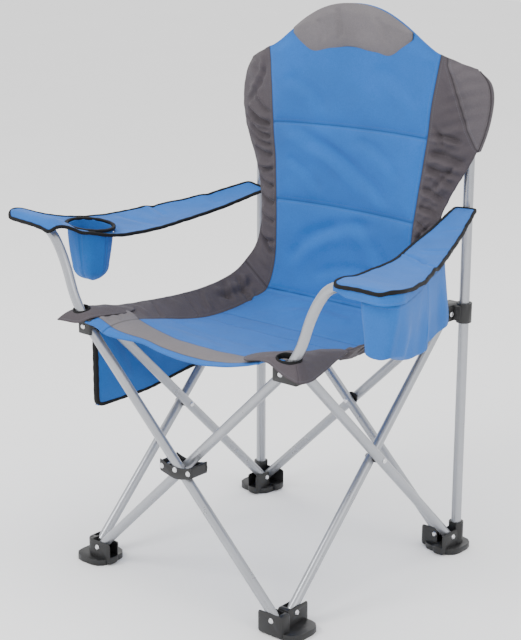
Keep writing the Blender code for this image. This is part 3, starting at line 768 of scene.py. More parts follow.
wingFolds = {
    # (x, z) lines on the right wing of the back, width and depth in metres; the left wing has its own
    "right": [
        (0.180, 0.762, 0.268, 0.735, 0.0062, -0.0085),
        (0.172, 0.742, 0.236, 0.700, 0.0050, -0.0060),
        (0.170, 0.700, 0.222, 0.676, 0.0050, -0.0065),
        (0.168, 0.664, 0.214, 0.650, 0.0045, -0.0060),
        (0.164, 0.640, 0.206, 0.600, 0.0045, -0.0050),
        (0.165, 0.612, 0.204, 0.560, 0.0050, -0.0055),
        (0.214, 0.905, 0.250, 0.800, 0.0050, -0.0030),
        (0.184, 0.812, 0.214, 0.772, 0.0040, -0.0044),
        (0.183, 0.790, 0.246, 0.782, 0.0042, -0.0060),
        (0.176, 0.728, 0.252, 0.722, 0.0040, -0.0050),
        (0.166, 0.590, 0.205, 0.640, 0.0036, -0.0040),
        (0.200, 0.700, 0.262, 0.760, 0.0046, -0.0040),
    ],
    "left": [
        (-0.186, 0.778, -0.262, 0.806, 0.0060, -0.0085),
        (-0.184, 0.752, -0.252, 0.772, 0.0050, -0.0070),
        (-0.178, 0.716, -0.236, 0.728, 0.0050, -0.0060),
        (-0.172, 0.690, -0.228, 0.690, 0.0042, -0.0060),
        (-0.170, 0.655, -0.215, 0.668, 0.0045, -0.0055),
        (-0.166, 0.622, -0.206, 0.640, 0.0050, -0.0065),
        (-0.164, 0.585, -0.203, 0.606, 0.0045, -0.0050),
        (-0.160, 0.545, -0.202, 0.560, 0.0050, -0.0050),
        (-0.188, 0.800, -0.240, 0.842, 0.0042, -0.0046),
        (-0.180, 0.735, -0.262, 0.760, 0.0036, -0.0050),
        (-0.186, 0.765, -0.276, 0.792, 0.0032, -0.0046),
        (-0.160, 0.520, -0.206, 0.590, 0.0046, -0.0044),
        (-0.205, 0.900, -0.262, 0.820, 0.0060, -0.0034),
    ],
    "field": [
        (-0.150, 0.782, 0.050, 0.676, 0.0120, -0.0046),
        (-0.110, 0.758, 0.110, 0.650, 0.0110, -0.0038),
        (0.020, 0.772, 0.130, 0.706, 0.0110, -0.0028),
        (-0.140, 0.720, -0.060, 0.660, 0.0100, -0.0028),
        (-0.110, 0.560, 0.080, 0.612, 0.0130, -0.0034),
        (-0.125, 0.520, -0.010, 0.600, 0.0120, -0.0032),
        (0.020, 0.620, 0.120, 0.510, 0.0130, -0.0034),
        (-0.150, 0.880, -0.050, 0.820, 0.0120, -0.0026),
        (0.060, 0.905, 0.160, 0.840, 0.0130, -0.0028),
        (-0.060, 0.500, 0.100, 0.520, 0.0110, -0.0026),
    ],
}
seatFolds = [
    # (x, y) lines on the seat
    (-0.185, 0.150, -0.205, 0.060, 0.0060, -0.0060),
    (-0.160, 0.120, -0.210, 0.130, 0.0050, -0.0060),
    (-0.185, 0.085, -0.222, 0.100, 0.0050, -0.0055),
    (-0.188, 0.020, -0.228, 0.035, 0.0050, -0.0040),
    (-0.190, -0.100, -0.232, -0.090, 0.0045, -0.0035),
    (0.165, 0.140, 0.212, 0.120, 0.0055, -0.0060),
    (0.175, 0.080, 0.222, 0.070, 0.0050, -0.0050),
    (0.182, 0.020, 0.230, 0.010, 0.0050, -0.0065),
    (0.186, -0.045, 0.232, -0.060, 0.0050, -0.0060),
    (0.184, -0.090, 0.236, -0.110, 0.0045, -0.0060),
    (0.180, -0.130, 0.236, -0.150, 0.0045, -0.0055),
    (-0.140, -0.130, 0.020, -0.150, 0.0140, -0.0026),
    (-0.080, 0.120, 0.080, 0.135, 0.0110, -0.0028),
    (0.040, -0.060, 0.150, -0.130, 0.0110, -0.0026),
]


def slingPiece(name, low, high, rows):
    grid, u, v, s, t = slingGrid(low, high, rows)
    normal = gridNormals(grid)
    metresAlong = metresOver(grid, 0)
    perRow = np.gradient(metresAlong, axis=0) / np.gradient(v, axis=0)
    metresAcross = metresOver(grid, 1)
    metresAcross = metresAcross - metresAcross[:, [u.shape[1] // 2]]
    # distance to the nearest cross seam, and to the two long borders of the blue field
    cross = np.full_like(u, 1.0)
    for seam in sling["seams"]:
        inField = np.where(t < 0.999, 0.0, 1.0) if seam != sling["seatBack"] else 0.0
        cross = np.minimum(cross, np.abs(v - seam) * perRow + inField)
    column = np.argmin(np.abs(u[0] - sling["border"]))
    border = metresAcross[:, [column]]
    leftBorder = metresAcross[:, [u.shape[1] - 1 - column]]
    toBorder = np.where(u > 0, metresAcross - border, leftBorder - metresAcross)
    bandEdge = (sling["bandTop"] - v) * perRow
    hemEdge = (sling["hemTop"] - v) * perRow
    seamDistance = np.minimum(cross, np.abs(toBorder))
    seamDistance = np.minimum(seamDistance, np.where(t < 1, np.abs(bandEdge), 1.0))
    seamDistance = np.minimum(seamDistance, np.abs(hemEdge))
    x, y, z = grid[..., 0], grid[..., 1], grid[..., 2]
    # the lighter shoulder zone is painted light and is marked on the right wing only; on the left the value
    # stays below zero, so the wing grey shows
    sleeveX = np.interp(z, [0.70, 0.775, 0.803, 0.863, 0.915], [0.30, 0.268, 0.254, 0.232, 0.212])
    sleeve = np.where(x > 0, np.abs(x) - sleeveX - 0.06 * np.maximum(0.775 - z, 0) * 10, -1.0)
    # padding swells between seams, wings and field have their own folds
    onBack = smooth((v - 6.9) / 0.4)
    puff = (
        (sling["puffSeat"] * (1 - onBack) + sling["puffBack"] * onBack)
        * np.clip(1 - np.exp(-seamDistance / 0.011), 0, 1)
    )
    puff = (
        puff
        * np.where(v < sling["bandTop"], 0.3, 1.0)
        * smooth((15.0 - v) / 0.8)
        * np.where(s > 0, 0.35, 1.0)
    )
    side = np.where(x > 0, creased(x, z, wingFolds["right"]), creased(x, z, wingFolds["left"]))
    folds = onBack * (side * 1.5 * smooth(s * 4) + creased(x, z, wingFolds["field"]) * smooth((1 - t) * 9))
    folds = folds + (1 - onBack) * creased(x, y, seatFolds)
    rumple = 0.0011 * ripples(metresAcross, metresAlong + 0.3 * low, 0.075, start=5)
    wingRumple = (
        0.0038 * ripples(metresAcross * 0.6, metresAlong * 1.6 + low, 0.045, start=21) * smooth(s * 3)
    )
    edgeHold = smooth((1 - np.abs(u)) * 12)
    grid = grid + normal * ((puff + folds + rumple + wingRumple) * (0.25 + 0.75 * edgeHold))[..., None]
    grid[..., 2] += sling["askew"] * grid[..., 0] / 0.28 * smooth((grid[..., 2] - 0.68) / 0.2)
    facts = {
        "wing": toBorder,
        "sleeve": sleeve,
        "band": bandEdge,
        "hem": hemEdge,
        "seam": seamDistance,
        "thread": np.where(cross < np.abs(toBorder), metresAcross, metresAlong),
    }
    uv = np.stack([metresAcross + 0.5, metresAlong], axis=-1)
    item = gridMesh(name, grid, slingCloth, uv, facts)
    thicken(item, sling["thick"])
    return item, grid


seatFront = slingPiece("sling_seat_front", 0.0, sling["seatJoin"], 86)[0]
seatRear = slingPiece("sling_seat_rear", sling["seatJoin"], sling["seatBack"] + 0.10, 76)[0]
back, backGrid = slingPiece("sling_back", sling["seatBack"], 15.0, 230)
print("sling made")

# headrest patch: its lower edge dips twice, its upper edge follows the top of the back
patch = {
    "lowX": [-0.140, -0.116, -0.090, -0.060, 0.0, 0.060, 0.095, 0.120, 0.140],
    "lowZ": [0.9620, 0.9390, 0.9260, 0.9300, 0.9390, 0.9290, 0.9240, 0.9370, 0.9600],
    "swell": 0.0068,
    "lift": 0.0030,
}


def patchPiece():
    # columns run across, rows from the lower edge to the top edge; the surface stands off the back, swollen
    # inside
    wide, tall = 97, 41
    x = np.linspace(-0.1385, 0.1385, wide)[None] + np.zeros((tall, 1))
    r = np.linspace(0, 1, tall)[:, None] + 0 * x
    lowZ = through(np.array(patch["lowZ"])[:, None], patch["lowX"], x[0])[:, 0]
    topRow = backGrid[-1]
    topZ = np.interp(x[0], topRow[:, 0], topRow[:, 2]) + 0.0006
    lowZ = lowZ + sling["askew"] * x[0] / 0.28
    z = lowZ[None] + (np.maximum(topZ, lowZ + 0.002) - lowZ)[None] * r
    near = np.abs(x) / 0.1385
    edge = np.minimum(np.minimum(r, 1.0) * (topZ - lowZ)[None], (1 - near) * 0.1385)
    swell = 1 - np.exp(-np.maximum(edge, 0) / 0.010)
    y = 0.2125 + 0.0022 * near**2 - patch["lift"] - patch["swell"] * swell * smooth((1 - r) * 3 + 0.25)
    y = (
        y
        + creased(
            x,
            z,
            [
                (-0.030, 1.010, -0.018, 0.955, 0.0065, 0.0035),
                (-0.075, 0.985, -0.060, 0.945, 0.006, 0.002),
                (0.060, 1.000, 0.085, 0.950, 0.006, 0.002),
            ],
        )
    )
    y = y + 0.0008 * ripples(x, z, 0.05, start=9)
    grid = np.stack([x, y, z], axis=-1)
    facts = {"seam": np.maximum(edge, 0), "thread": x + z}
    uv = np.stack([x + 0.5, z], axis=-1)
    item = gridMesh("headrest_pad", grid, greyCloth, uv, facts)
    thicken(item, 0.0026)
    return item


headPad = patchPiece()


def edgeTape(name, path, up, width=0.0085, height=0.0052, closed=False):
    # binding tape folded over an edge: a rounded strip carried along the edge, slightly uneven as sewn tape
    # is
    path = np.asarray(path, float)
    total = lengthsAlong(path)[-1]
    if not closed:
        path = evenly(path, max(12, int(total / 0.006)))
    grid = carried(path, roundProfile(width, height, 14, 3.2), up, closed=closed)
    run = lengthsAlong(path)[:, None]
    wobble = 1 + 0.07 * np.sin(run / 0.021 * math.tau + 0.6) * np.sin(run / 0.057)
    centre = path[:, None]
    grid = centre + (grid - centre) * wobble[..., None]
    around = np.linspace(0, 0.022, grid.shape[1])[None]
    uv = np.stack(np.broadcast_arrays(run, around), axis=-1)
    if closed:
        grid = np.concatenate([grid, grid[:1]])
        uv = np.concatenate([uv, uv[:1]])
    return gridMesh(name, grid, tapeCloth, uv, ringed=True, capped=not closed)


# shoulder sleeves: the pocket of cloth behind each shoulder that takes the upright's top
sleeveShape = {"low": 0.772, "depth": 0.034, "inner": 0.206}


def sleevePiece(name, side):
    # rows climb from the open bottom to the closed top; each row leaves the wing's outer edge, goes round
    # behind
    # the upright as half of a flattened ellipse and comes back to the edge close behind the wing
    column = 0 if side < 0 else -1
    edgeLine = backGrid[:, column]
    rows, columns = 34, 49
    z = np.linspace(sleeveShape["low"], edgeLine[-1, 2] - 0.004, rows)
    edgeX = np.interp(z, edgeLine[:, 2], np.abs(edgeLine[:, 0])) - 0.001
    edgeY = np.interp(z, edgeLine[:, 2], edgeLine[:, 1])
    phi = np.linspace(0, math.tau, columns)[None]
    behind = np.maximum(np.sin(phi), 0)
    close = np.sqrt(np.clip(1 - smooth((z - 0.872) / (z[-1] - 0.872)) ** 2, 0.02, 1))[:, None]
    middle = ((edgeX + sleeveShape["inner"]) / 2)[:, None]
    half = ((edgeX - sleeveShape["inner"]) / 2)[:, None]
    x = middle + half * np.cos(phi)
    ease = np.clip((edgeX[:, None] - x) / (2 * half), 0, 1)
    y = edgeY[:, None] - (edgeY[:, None] - 0.2140) * ease + 0.0045
    y = y + sleeveShape["depth"] * behind**0.75 * close * (0.80 + 0.20 * np.cos(phi - 0.9))
    y = y + 0.0014 * ripples(x * 1.5, z[:, None] + 0 * x, 0.04, start=13) * behind
    grid = np.stack([side * x, y, z[:, None] + 0 * x], axis=-1)
    metres = metresOver(grid, 1)
    run = z[:, None] + 0 * x
    facts = {"seam": np.minimum(metres, np.abs(metres - metres[:, [columns // 2]])) + 0.0005, "thread": run}
    uv = np.stack([metres, run], axis=-1)
    item = gridMesh(name, grid, wingCloth, uv, facts, flip=side < 0)
    thicken(item, 0.0018)
    return item


sleeveLeft = sleevePiece("shoulder_sleeve_left", -1)
sleeveRight = sleevePiece("shoulder_sleeve_right", 1)

# corner patches: cloth hung over the front brackets, with a bound opening for each post
corner = {
    # outlines as (x, y, z), from the tip along the front edge, back to the seat and out along the wing
    "left": {
        "side": -1,
        "hole": (0.2380, -0.2630, 0.0150, 0.0135),
        "outline": [
            (
                0.279, -0.290, 0.4730
            ), (0.256, -0.288, 0.4735), (0.236, -0.287, 0.4735), (0.218, -0.285, 0.4770),
            (
                0.205, -0.275, 0.4860
            ), (0.196, -0.235, 0.4850), (0.196, -0.190, 0.4790), (0.206, -0.155, 0.4770),
            (
                0.234, -0.150, 0.4770
            ), (0.247, -0.200, 0.4760), (0.260, -0.240, 0.4745), (0.271, -0.270, 0.4740),
        ],
    },
    "right": {
        "side": 1,
        "hole": (0.2310, -0.2435, 0.0235, 0.0145),
        "outline": [
            (
                0.274, -0.269, 0.4640
            ), (0.250, -0.268, 0.4680), (0.226, -0.266, 0.4750), (0.205, -0.262, 0.4840),
            (
                0.180, -0.257, 0.4840
            ), (0.137, -0.251, 0.4740), (0.121, -0.228, 0.4720), (0.115, -0.192, 0.4680),
            (
                0.140, -0.168, 0.4680
            ), (0.165, -0.142, 0.4690), (0.186, -0.104, 0.4600), (0.212, -0.090, 0.4720),
            (
                0.242, -0.092, 0.4740
            ), (0.254, -0.140, 0.4730), (0.268, -0.195, 0.4670), (0.278, -0.240, 0.4630),
        ],
    },
}


def cornerPiece(name, shape):
    # rings grow from the post's opening to the patch's outline: each point slides straight from hole to
    # outline,
    # standing on the bracket's top near the opening and easing down to the outline's own height
    side = shape["side"]
    outline = np.array(shape["outline"] + shape["outline"][:1])
    around, rings = 96, 30
    at = np.linspace(0, lengthsAlong(outline)[-1], around, endpoint=False)
    outer = np.stack([np.interp(at, lengthsAlong(outline), outline[:, k]) for k in range(3)], axis=1)
    for _ in range(3):  # round the outline's corners a little
        outer = 0.5 * outer + 0.25 * np.roll(outer, 1, axis=0) + 0.25 * np.roll(outer, -1, axis=0)
    holeX, holeY, holeWide, holeDeep = shape["hole"]
    heading = np.arctan2(outer[:, 1] - holeY, outer[:, 0] - holeX)
    inner = np.stack(
        [
            holeX + holeWide * np.cos(heading),
            holeY + holeDeep * np.sin(heading),
            0.4945 + 0.003 * np.sin(heading),
        ],
        axis=1,
    )
    r = np.linspace(0, 1, rings)[:, None, None]
    grid = inner[None] + (outer - inner)[None] * r
    hump = np.exp(-((np.hypot(grid[..., 0] - 0.228, grid[..., 1] - holeY) / 0.040) ** 2))
    floorZ = np.where(r[..., 0] < 1, 0.4905, 0) * hump
    grid[..., 2] = (
        np.maximum(grid[..., 2], floorZ * (1 - r[..., 0] ** 4)) + 0.0030 * np.sin(math.pi * r[..., 0])
    )
    grid[..., 2] += (
        (0.0016 * ripples(grid[..., 0], grid[..., 1], 0.034, start=3)) * np.sin(math.pi * r[..., 0] ** 0.7)
    )
    grid[..., 0] *= side
    grid = np.concatenate([grid, grid[:, :1]], axis=1)
    reachOut = np.linalg.norm(grid - grid[-1:], axis=-1)
    metres = lengthsAlong(grid[-1])[None] + 0 * reachOut
    facts = {"seam": reachOut + 0.001, "thread": metres}
    uv = np.stack([grid[..., 0], grid[..., 1]], axis=-1)
    item = gridMesh(name, grid, wingCloth, uv, facts, flip=side < 0)
    thicken(item, 0.0024)
    tape = edgeTape(name + "_binding", grid[0, :-1] - [0, 0, 0.0035], (0, 0, 1), 0.0040, 0.0110, closed=True)
    return item, tape


cornerLeft, cornerLeftTape = cornerPiece("corner_patch_left", corner["left"])
cornerRight, cornerRightTape = cornerPiece("corner_patch_right", corner["right"])
print("patches and sleeves made")

# ---- armrests ----

arm = {
    "front": -0.284,
    "reach": 0.5190,
    "thick": 0.0046,
    "cup": (-0.3125, -0.165),
    "cupRadius": 0.0425,
    # share of the length, outer edge x and height, inner edge x and height
    "right": [
        (0.00, 0.448, 0.6520, 0.350, 0.6530),
        (0.07, 0.462, 0.6515, 0.344, 0.6520),
        (0.12, 0.455, 0.6480, 0.345, 0.6495),
        (0.25, 0.434, 0.6435, 0.330, 0.6445),
        (0.40, 0.400, 0.6400, 0.314, 0.6405),
        (0.60, 0.357, 0.6420, 0.277, 0.6410),
        (0.80, 0.312, 0.6500, 0.250, 0.6500),
        (1.00, 0.271, 0.6680, 0.226, 0.6660),
    ],
    "left": [
        (0.00, 0.406, 0.6520, 0.292, 0.6470),
        (0.06, 0.407, 0.6520, 0.284, 0.6470),
        (0.10, 0.400, 0.6450, 0.276, 0.6340),
        (0.15, 0.388, 0.6360, 0.264, 0.6210),
        (0.25, 0.372, 0.6250, 0.252, 0.6100),
        (0.40, 0.368, 0.6160, 0.250, 0.6045),
        (0.60, 0.362, 0.6140, 0.252, 0.6065),
        (0.80, 0.325, 0.6220, 0.245, 0.6160),
        (1.00, 0.270, 0.6450, 0.227, 0.6360),
    ],
}


def armPiece(name, side, rows, curl):
    # rows run from front to rear and columns across; each row is a chord from the inner to the outer edge
    # that
    # hangs a little in its middle, the front corners are rounded off and the front edge rolls over the tube
    count, columns = 150, 49
    v = np.linspace(0, 1, count)
    w = np.linspace(-1, 1, columns)[None]
    table = np.array(rows)
    outerX, outerZ, innerX, innerZ = through(table[:, 1:], table[:, 0], v).T[:, :, None]
    v = v[:, None]
    corner_ = np.sqrt(np.clip(1 - (1 - np.clip(v / 0.040, 0, 1)) ** 2, 0, 1))
    share = 0.5 + 0.5 * w * (0.90 + 0.10 * corner_)
    x = innerX + (outerX - innerX) * share
    y = arm["front"] + arm["reach"] * v + 0 * x
    height = innerZ + (outerZ - innerZ) * share
    height = height - 0.0040 * (1 - w**2) * smooth((v - 0.07) * 8) * smooth((1 - v) * 8)
    lip = 1 - smooth(v / 0.020)
    height = (
        height + curl * (1 - smooth(v / 0.10)) * smooth((w + 1) / 1.2) - (0.011 if side < 0 else 0.004) * lip
    )
    if side < 0:  # the inner corner folds down over the tube's shoulder
        height = height - 0.010 * smooth((0.314 - x) / 0.034) * (1 - smooth((v - 0.05) / 0.12))
    rim = (1 - np.abs(w)) * (outerX - innerX) / 2
    folds = [(0.30, 0.025, 0.40, 0.045, 0.007, -0.0030), (0.27, 0.14, 0.33, 0.16, 0.008, -0.0016)]
    if side > 0:
        folds += [
            (0.300, -0.020, 0.360, -0.045, 0.0060, -0.0045), (0.360, -0.045, 0.425, -0.085, 0.006, -0.0036)
        ]
    else:
        folds += [(0.25, -0.03, 0.36, -0.05, 0.012, -0.0030), (0.26, -0.23, 0.34, -0.21, 0.008, -0.0024)]
    height = height + creased(x, y, folds) + 0.0009 * ripples(x, y, 0.05, start=30)
    x = x + 0.0016 * np.sin(y / 0.031) * np.sin(y / 0.013 + 1) * smooth((w - 0.8) * 5)
    grid = np.stack([side * x, y, height], axis=-1)
    across = metresOver(grid, 1)
    run = y + 0.3
    facts = {"seam": rim + 0.004, "thread": run + 0 * across}
    uv = np.stack([across, run + 0 * across], axis=-1)
    item = gridMesh(name, grid, blueCloth, uv, facts, flip=side < 0)
    return item, grid


def cutRound(item, centre, radius):
    # faces whose middle lies inside the circle go, and the ring left round it is drawn onto the circle
    shape = bmesh.new()
    shape.from_mesh(item.data)
    gone = [
        f
        for f in shape.faces
        if math.hypot(f.calc_center_median().x - centre[0], f.calc_center_median().y - centre[1]) < radius
    ]
    bmesh.ops.delete(shape, geom=gone, context="FACES")
    for corner_ in shape.verts:
        off = Vector((corner_.co.x - centre[0], corner_.co.y - centre[1]))
        if corner_.is_boundary and off.length < radius * 1.25:
            off = off.normalized() * radius
            corner_.co.x, corner_.co.y = centre[0] + off.x, centre[1] + off.y
    shape.to_mesh(item.data)
    shape.free()


armRight, armRightGrid = armPiece("armrest_cloth_right", 1, arm["right"], 0.002)
armLeft, armLeftGrid = armPiece("armrest_cloth_left", -1, arm["left"], 0.0015)
cutRound(armLeft, arm["cup"], arm["cupRadius"] + 0.0025)
for item in (armRight, armLeft):
    thicken(item, arm["thick"], offset=-0.6)


def rimOf(grid):
    # the strip's outline: down one side, across the front, up the other side and across the rear
    left, right = grid[::-1, 0], grid[:, -1]
    return np.concatenate([grid[-1, ::-1][:-1], left[:-1], grid[0][:-1], right[:-1]])


tapes = {}
for name, grid in (("armrest_binding_right", armRightGrid), ("armrest_binding_left", armLeftGrid)):
    ring = rimOf(grid)
    ring = evenly(np.concatenate([ring, ring[:1]]), 240)[:-1]
    for _ in range(2):
        ring = 0.5 * ring + 0.25 * np.roll(ring, 1, axis=0) + 0.25 * np.roll(ring, -1, axis=0)
    ring[:, 2] -= 0.0008
    tapes[name] = edgeTape(name, ring, (0, 0, 1), 0.0056, 0.0064, closed=True)

cup = {"bottom": 0.518, "top": 0.6200, "wall": 0.0016, "lean": 0.088}


def cupPiece():
    # a cloth cup: a circle that narrows into a rounded bottom, with soft upright folds and a flat seam down
    # one side
    rows, columns = 60, 72
    t = np.linspace(0, 1, rows)[:, None]
    phi = np.linspace(0, math.tau, columns + 1)[None]
    bowl = 0.030
    height = cup["top"] - cup["bottom"]
    length = t * (height + 0.030)
    straight = height - bowl
    past = np.clip((length - straight) / (height + 0.030 - straight), 0, 1)
    radius = np.where(
        length < straight,
        arm["cupRadius"] * (1 - 0.20 * (length / straight) ** 1.5),
        arm["cupRadius"] * 0.80 * np.cos(past * math.pi / 2) ** 0.8,
    )
    drop_ = np.where(length < straight, length, straight + bowl * np.sin(past * math.pi / 2))
    fold = (
        1
        + 0.030 * np.sin(5 * phi + 0.6) * smooth(t * 2) * smooth((1 - t) * 4)
        + 0.018 * np.sin(9 * phi + 2.0) * smooth(t * 3) * smooth((1 - t) * 4)
    )
    notch = 1 - 0.10 * np.exp(-(((phi - 5.0) / 0.10) ** 2)) * smooth((t - 0.55) * 5)
    radius = radius * fold * notch
    x = arm["cup"][0] + radius * np.cos(phi)
    y = arm["cup"][1] + radius * np.sin(phi)
    z = cup["top"] - drop_ + 0 * phi + 0.0015 * np.sin(3 * phi)
    z = z - cup["lean"] * (x - arm["cup"][0]) * (1 - t) - 0.05 * (y - arm["cup"][1]) * (1 - t)
    grid = np.stack([x, y, z], axis=-1)
    facts = {"seam": np.abs((phi - 5.0)) * arm["cupRadius"] + 0 * z, "thread": z}
    uv = np.stack([phi * arm["cupRadius"] + 0 * z, z], axis=-1)
    item = gridMesh("cup_cloth", grid, blueCloth, uv, facts, flip=True)
    thicken(item, cup["wall"])
    phi = np.linspace(0, math.tau, 72, endpoint=False)
    ring = np.stack(
        [
            arm["cup"][0] + (arm["cupRadius"] + 0.0015) * np.cos(phi),
            arm["cup"][1] + (arm["cupRadius"] + 0.0015) * np.sin(phi),
            np.full(72, cup["top"] + 0.0012),
        ],
        axis=1,
    )
    ring[:, 2] -= cup["lean"] * (ring[:, 0] - arm["cup"][0]) + 0.05 * (ring[:, 1] - arm["cup"][1])
    rim = edgeTape("cup_binding", ring, (0, 0, 1), 0.0068, 0.0060, closed=True)
    return item, rim


cupCloth, cupTape = cupPiece()
print("armrests and cup made")

# the right armrest's valance: a narrow strip that hangs from its front and outer edge
valance = {
    "path": [
        (0.352, -0.2815),
        (0.400, -0.2830),
        (0.446, -0.2810),
        (0.460, -0.2500),
        (0.451, -0.2150),
        (0.438, -0.1650),
    ],
    "deep": 0.017,
}


def valancePiece():
    # the edge's path walked in equal steps, each point dropped by the strip's depth, with a slow wave in
    # and out
    path = evenly(through(np.array(valance["path"]), np.arange(6.0), np.linspace(0, 5, 60)), 90)
    t = np.linspace(0, 1, 12)[:, None]
    outward = np.stack([np.gradient(path[:, 1]), -np.gradient(path[:, 0])], axis=1)
    outward /= -np.linalg.norm(outward, axis=1, keepdims=True)
    run = lengthsAlong(path)[None]
    wave = 0.0022 * np.sin(run / 0.026) * t
    table = np.array(arm["right"])
    top = np.interp(path[:, 1], arm["front"] + arm["reach"] * table[:, 0], table[:, 2])[None] - 0.0030
    x = path[None, :, 0] + outward[None, :, 0] * wave - 0.002
    y = path[None, :, 1] + outward[None, :, 1] * wave
    z = (
        top
        - t * valance["deep"] * (0.55 + 0.45 * smooth(run / 0.03)) * (1 - smooth((run - 0.14) / 0.04))
        - 0.0004
    )
    grid = np.stack([x, y, z], axis=-1)
    facts = {"seam": valance["deep"] * (1 - t) + 0.002 + 0 * x, "thread": run + 0 * x}
    uv = np.stack([run + 0 * x, t * valance["deep"] + 0 * x], axis=-1)
    item = gridMesh("armrest_valance_right", grid, blueCloth, uv, facts)
    thicken(item, 0.0014, offset=0.0)
    return item


valanceItem = valancePiece()

# ---- bags ----

bag = {
    "centre": (0.385, -0.118), "turn": math.atan2(0.085, 0.30), "length": 0.300, "deep": 0.050, "top": 0.6330
}


def armBag():
    # a soft box of cloth: a slim rounded rectangle in plan, its walls waved by hanging folds, closed
    # underneath;
    # the rim follows the armrest above and the bottom hangs lowest behind the front corner
    rows, columns = 60, 200
    t = np.linspace(0, 1, rows)[:, None]
    ring = evenly(np.concatenate([roundProfile(bag["deep"], bag["length"], 240, 7.0)] * 2)[:241], columns + 1)
    run = lengthsAlong(ring)
    lengthwise = ring[None, :, 1] / bag["length"]  # from -0.5 at the front to 0.5 at the rear
    top = bag["top"] + 0.002 * np.cos(lengthwise * 9)
    bottom = 0.5345 - 0.030 * smooth((lengthwise + 0.5) / 0.42) + 0.016 * smooth((lengthwise - 0.05) / 0.4)
    tall = top - bottom
    past = np.clip((t - 0.88) / 0.12, 0, 1)
    shrink = np.cos(past * math.pi / 2)
    z = top - tall * np.where(t < 0.88, t / 0.88 * 0.93, 0.93 + 0.07 * np.sin(past * math.pi / 2))
    offX = ring[None, :, 0] * (1.06 - 0.34 * t + 0.10 * np.sin(math.pi * t))
    offY = ring[None, :, 1] * (1 - 0.035 * t)
    outer = ring[None, :, 0] > 0
    folds = (
        0.0046 * np.sin(lengthwise * 17 + 0.9 + 0.9 * t) + 0.0016 * np.sin(lengthwise * 35 + 2.1 - 1.6 * t)
    )
    offX = (
        offX
        + np.where(outer, folds, -0.6 * folds) * smooth(t * 1.3 - 0.05) * smooth(
            (0.5 - np.abs(lengthwise)) * 12
        )
    )
    offX = offX * np.maximum(shrink, 0.0)
    offY = offY + 0.0030 * np.sin(t * 6 + 1.0) * np.sign(lengthwise)
    offY = offY * (1 - 0.02 * past)
    c, s = math.cos(bag["turn"]), math.sin(bag["turn"])
    x = bag["centre"][0] + offX * c - offY * s
    y = bag["centre"][1] + offX * s + offY * c
    # the rim tucks in under the armrest's outer edge, and the front corner reaches a little further in
    table = np.array(arm["right"])
    rimX = np.interp(y, arm["front"] + arm["reach"] * table[:, 0], table[:, 1]) - 0.007
    wallX = bag["centre"][0] + (bag["deep"] / 2) * c - offY * s
    x = x + (rimX - wallX) * (1 - smooth(t * 1.1)) * smooth((ring[None, :, 0] / bag["deep"] + 0.5) * 1.2)
    x = x - 0.012 * smooth((-0.20 - y) / 0.05) * smooth(0.5 - ring[None, :, 0] / bag["deep"])
    z = z + 0 * x
    under = np.interp(y, arm["front"] + arm["reach"] * table[:, 0], table[:, 2]) - 0.0052
    z = z + (under - bag["top"]) * (1 - smooth(t * 2.5)) * smooth((y + 0.262) / 0.03)
    grid = np.stack([x, y, z], axis=-1)
    facts = {"seam": np.abs((z - top) + 0.006) + 0 * x, "thread": run[None] + 0 * x}
    uv = np.stack([run[None] + 0 * x, t * 0.11 + 0 * x], axis=-1)
    item = gridMesh("armrest_bag_right", grid, blueCloth, uv, facts, flip=True)
    thicken(item, 0.0016)
    return item


armBagItem = armBag()

panel = {"bulge": 0.0045}


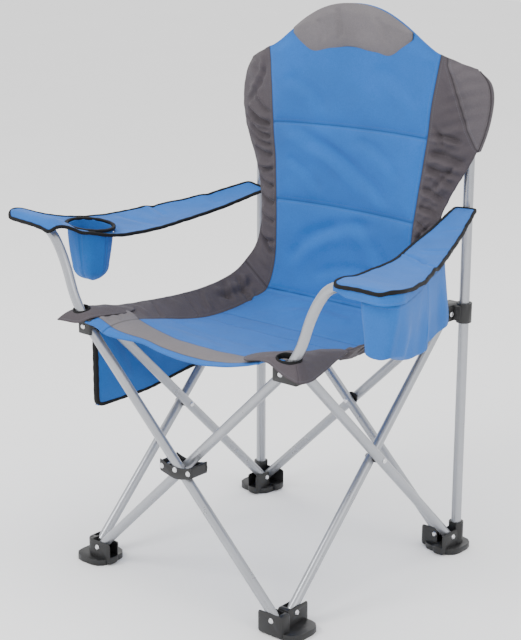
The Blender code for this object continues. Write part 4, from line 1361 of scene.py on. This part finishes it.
def sidePanel(name, x0, outward):
    # one wall of the flat side bag: a rounded rectangle bowed outward in the middle
    low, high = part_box("side_pocket_left")
    rows, columns = 50, 80
    u = np.linspace(-1, 1, columns)[None]
    v = np.linspace(-1, 1, rows)[:, None]
    y = (low.y + high.y) / 2 + u * (high.y - low.y) / 2 + 0 * v
    z = (low.z + high.z) / 2 + v * (high.z - low.z) / 2 + 0 * u
    rise = 0.020 * smooth((u + 0.2) / 1.2)
    z = z + rise * (1 - (v + 1) / 2) * 0.8
    bow = (1 - u**4) * (1 - v**4) * panel["bulge"]
    x = (
        x0
        - outward * bow
        + creased(
            y, z, [(-0.19, 0.44, -0.10, 0.33, 0.010, -0.003), (-0.02, 0.43, 0.05, 0.34, 0.010, -0.0026)]
        )
        + 0.0008 * ripples(y, z, 0.06, start=17)
    )
    grid = np.stack([x, y, z], axis=-1)
    edge = np.minimum((1 - np.abs(u)) * (high.y - low.y) / 2, (1 + v) * (high.z - low.z) / 2)
    facts = {"seam": edge + 0.006 + 0 * x, "thread": y + z}
    uv = np.stack([y + 0.5, z], axis=-1)
    item = gridMesh(name, grid, blueCloth, uv, facts, flip=outward > 0)
    thicken(item, 0.0016)
    return item, grid


low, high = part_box("side_pocket_left")
bagOuter, outerGrid = sidePanel("side_bag_outer", low.x + 0.0035, 1)
bagInner = sidePanel("side_bag_inner", high.x - 0.0035, -1)[0]
rimPath = np.concatenate([outerGrid[::-1, 0][:-1], outerGrid[0][:-1], outerGrid[:, -1]])
rimPath[:, 0] = (low.x + high.x) / 2
for _ in range(14):  # the binding turns its corners on a curve
    rimPath[1:-1] = 0.5 * rimPath[1:-1] + 0.25 * rimPath[:-2] + 0.25 * rimPath[2:]
bagTape = edgeTape("side_bag_binding", rimPath, (1, 0, 0), 0.0080, 0.0110)
print("bags made")

# ---- what each piece moves with ----

for item, body, keep, nodesHere in (
    (seatFront, "seat_front", 0.17, ("seat_front_half",)),
    (seatRear, "seat_rear", 0.17, ("seat_rear_half",)),
    (back, "rear_right", 0.27, ("backrest",)),
    (headPad, "rear_right", 0.27, ("headrest_patch",)),
):
    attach(item, body)
    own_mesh(item)
    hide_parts(*nodesHere)
for item, body in ((sleeveLeft, "rear_left"), (sleeveRight, "rear_right")):
    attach(item, body)
for item, body in ((cornerLeft, "bracket_left"), (cornerRight, "bracket_right")):
    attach(item, body)
for item, body in ((cornerLeftTape, "bracket_left"), (cornerRightTape, "bracket_right")):
    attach(item, body)

for item, side in (
    (armRight, 1),
    (valanceItem, 1),
    (tapes["armrest_binding_right"], 1),
    (armLeft, -1),
    (tapes["armrest_binding_left"], -1),
):
    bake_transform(item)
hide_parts("armrest_right")
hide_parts("armrest_left")

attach(cupCloth, "arm_front_left")
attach(cupTape, "arm_front_left")
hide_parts("cup_pouch")
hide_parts("cup_rim")
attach(armBagItem, "arm_front_right")
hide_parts("armrest_pocket_right")
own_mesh(armBagItem)
for item in (bagOuter, bagInner, bagTape):
    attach(item, "bracket_left")
    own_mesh(item)
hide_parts("side_pocket_left")

print("pieces ride on the frame")
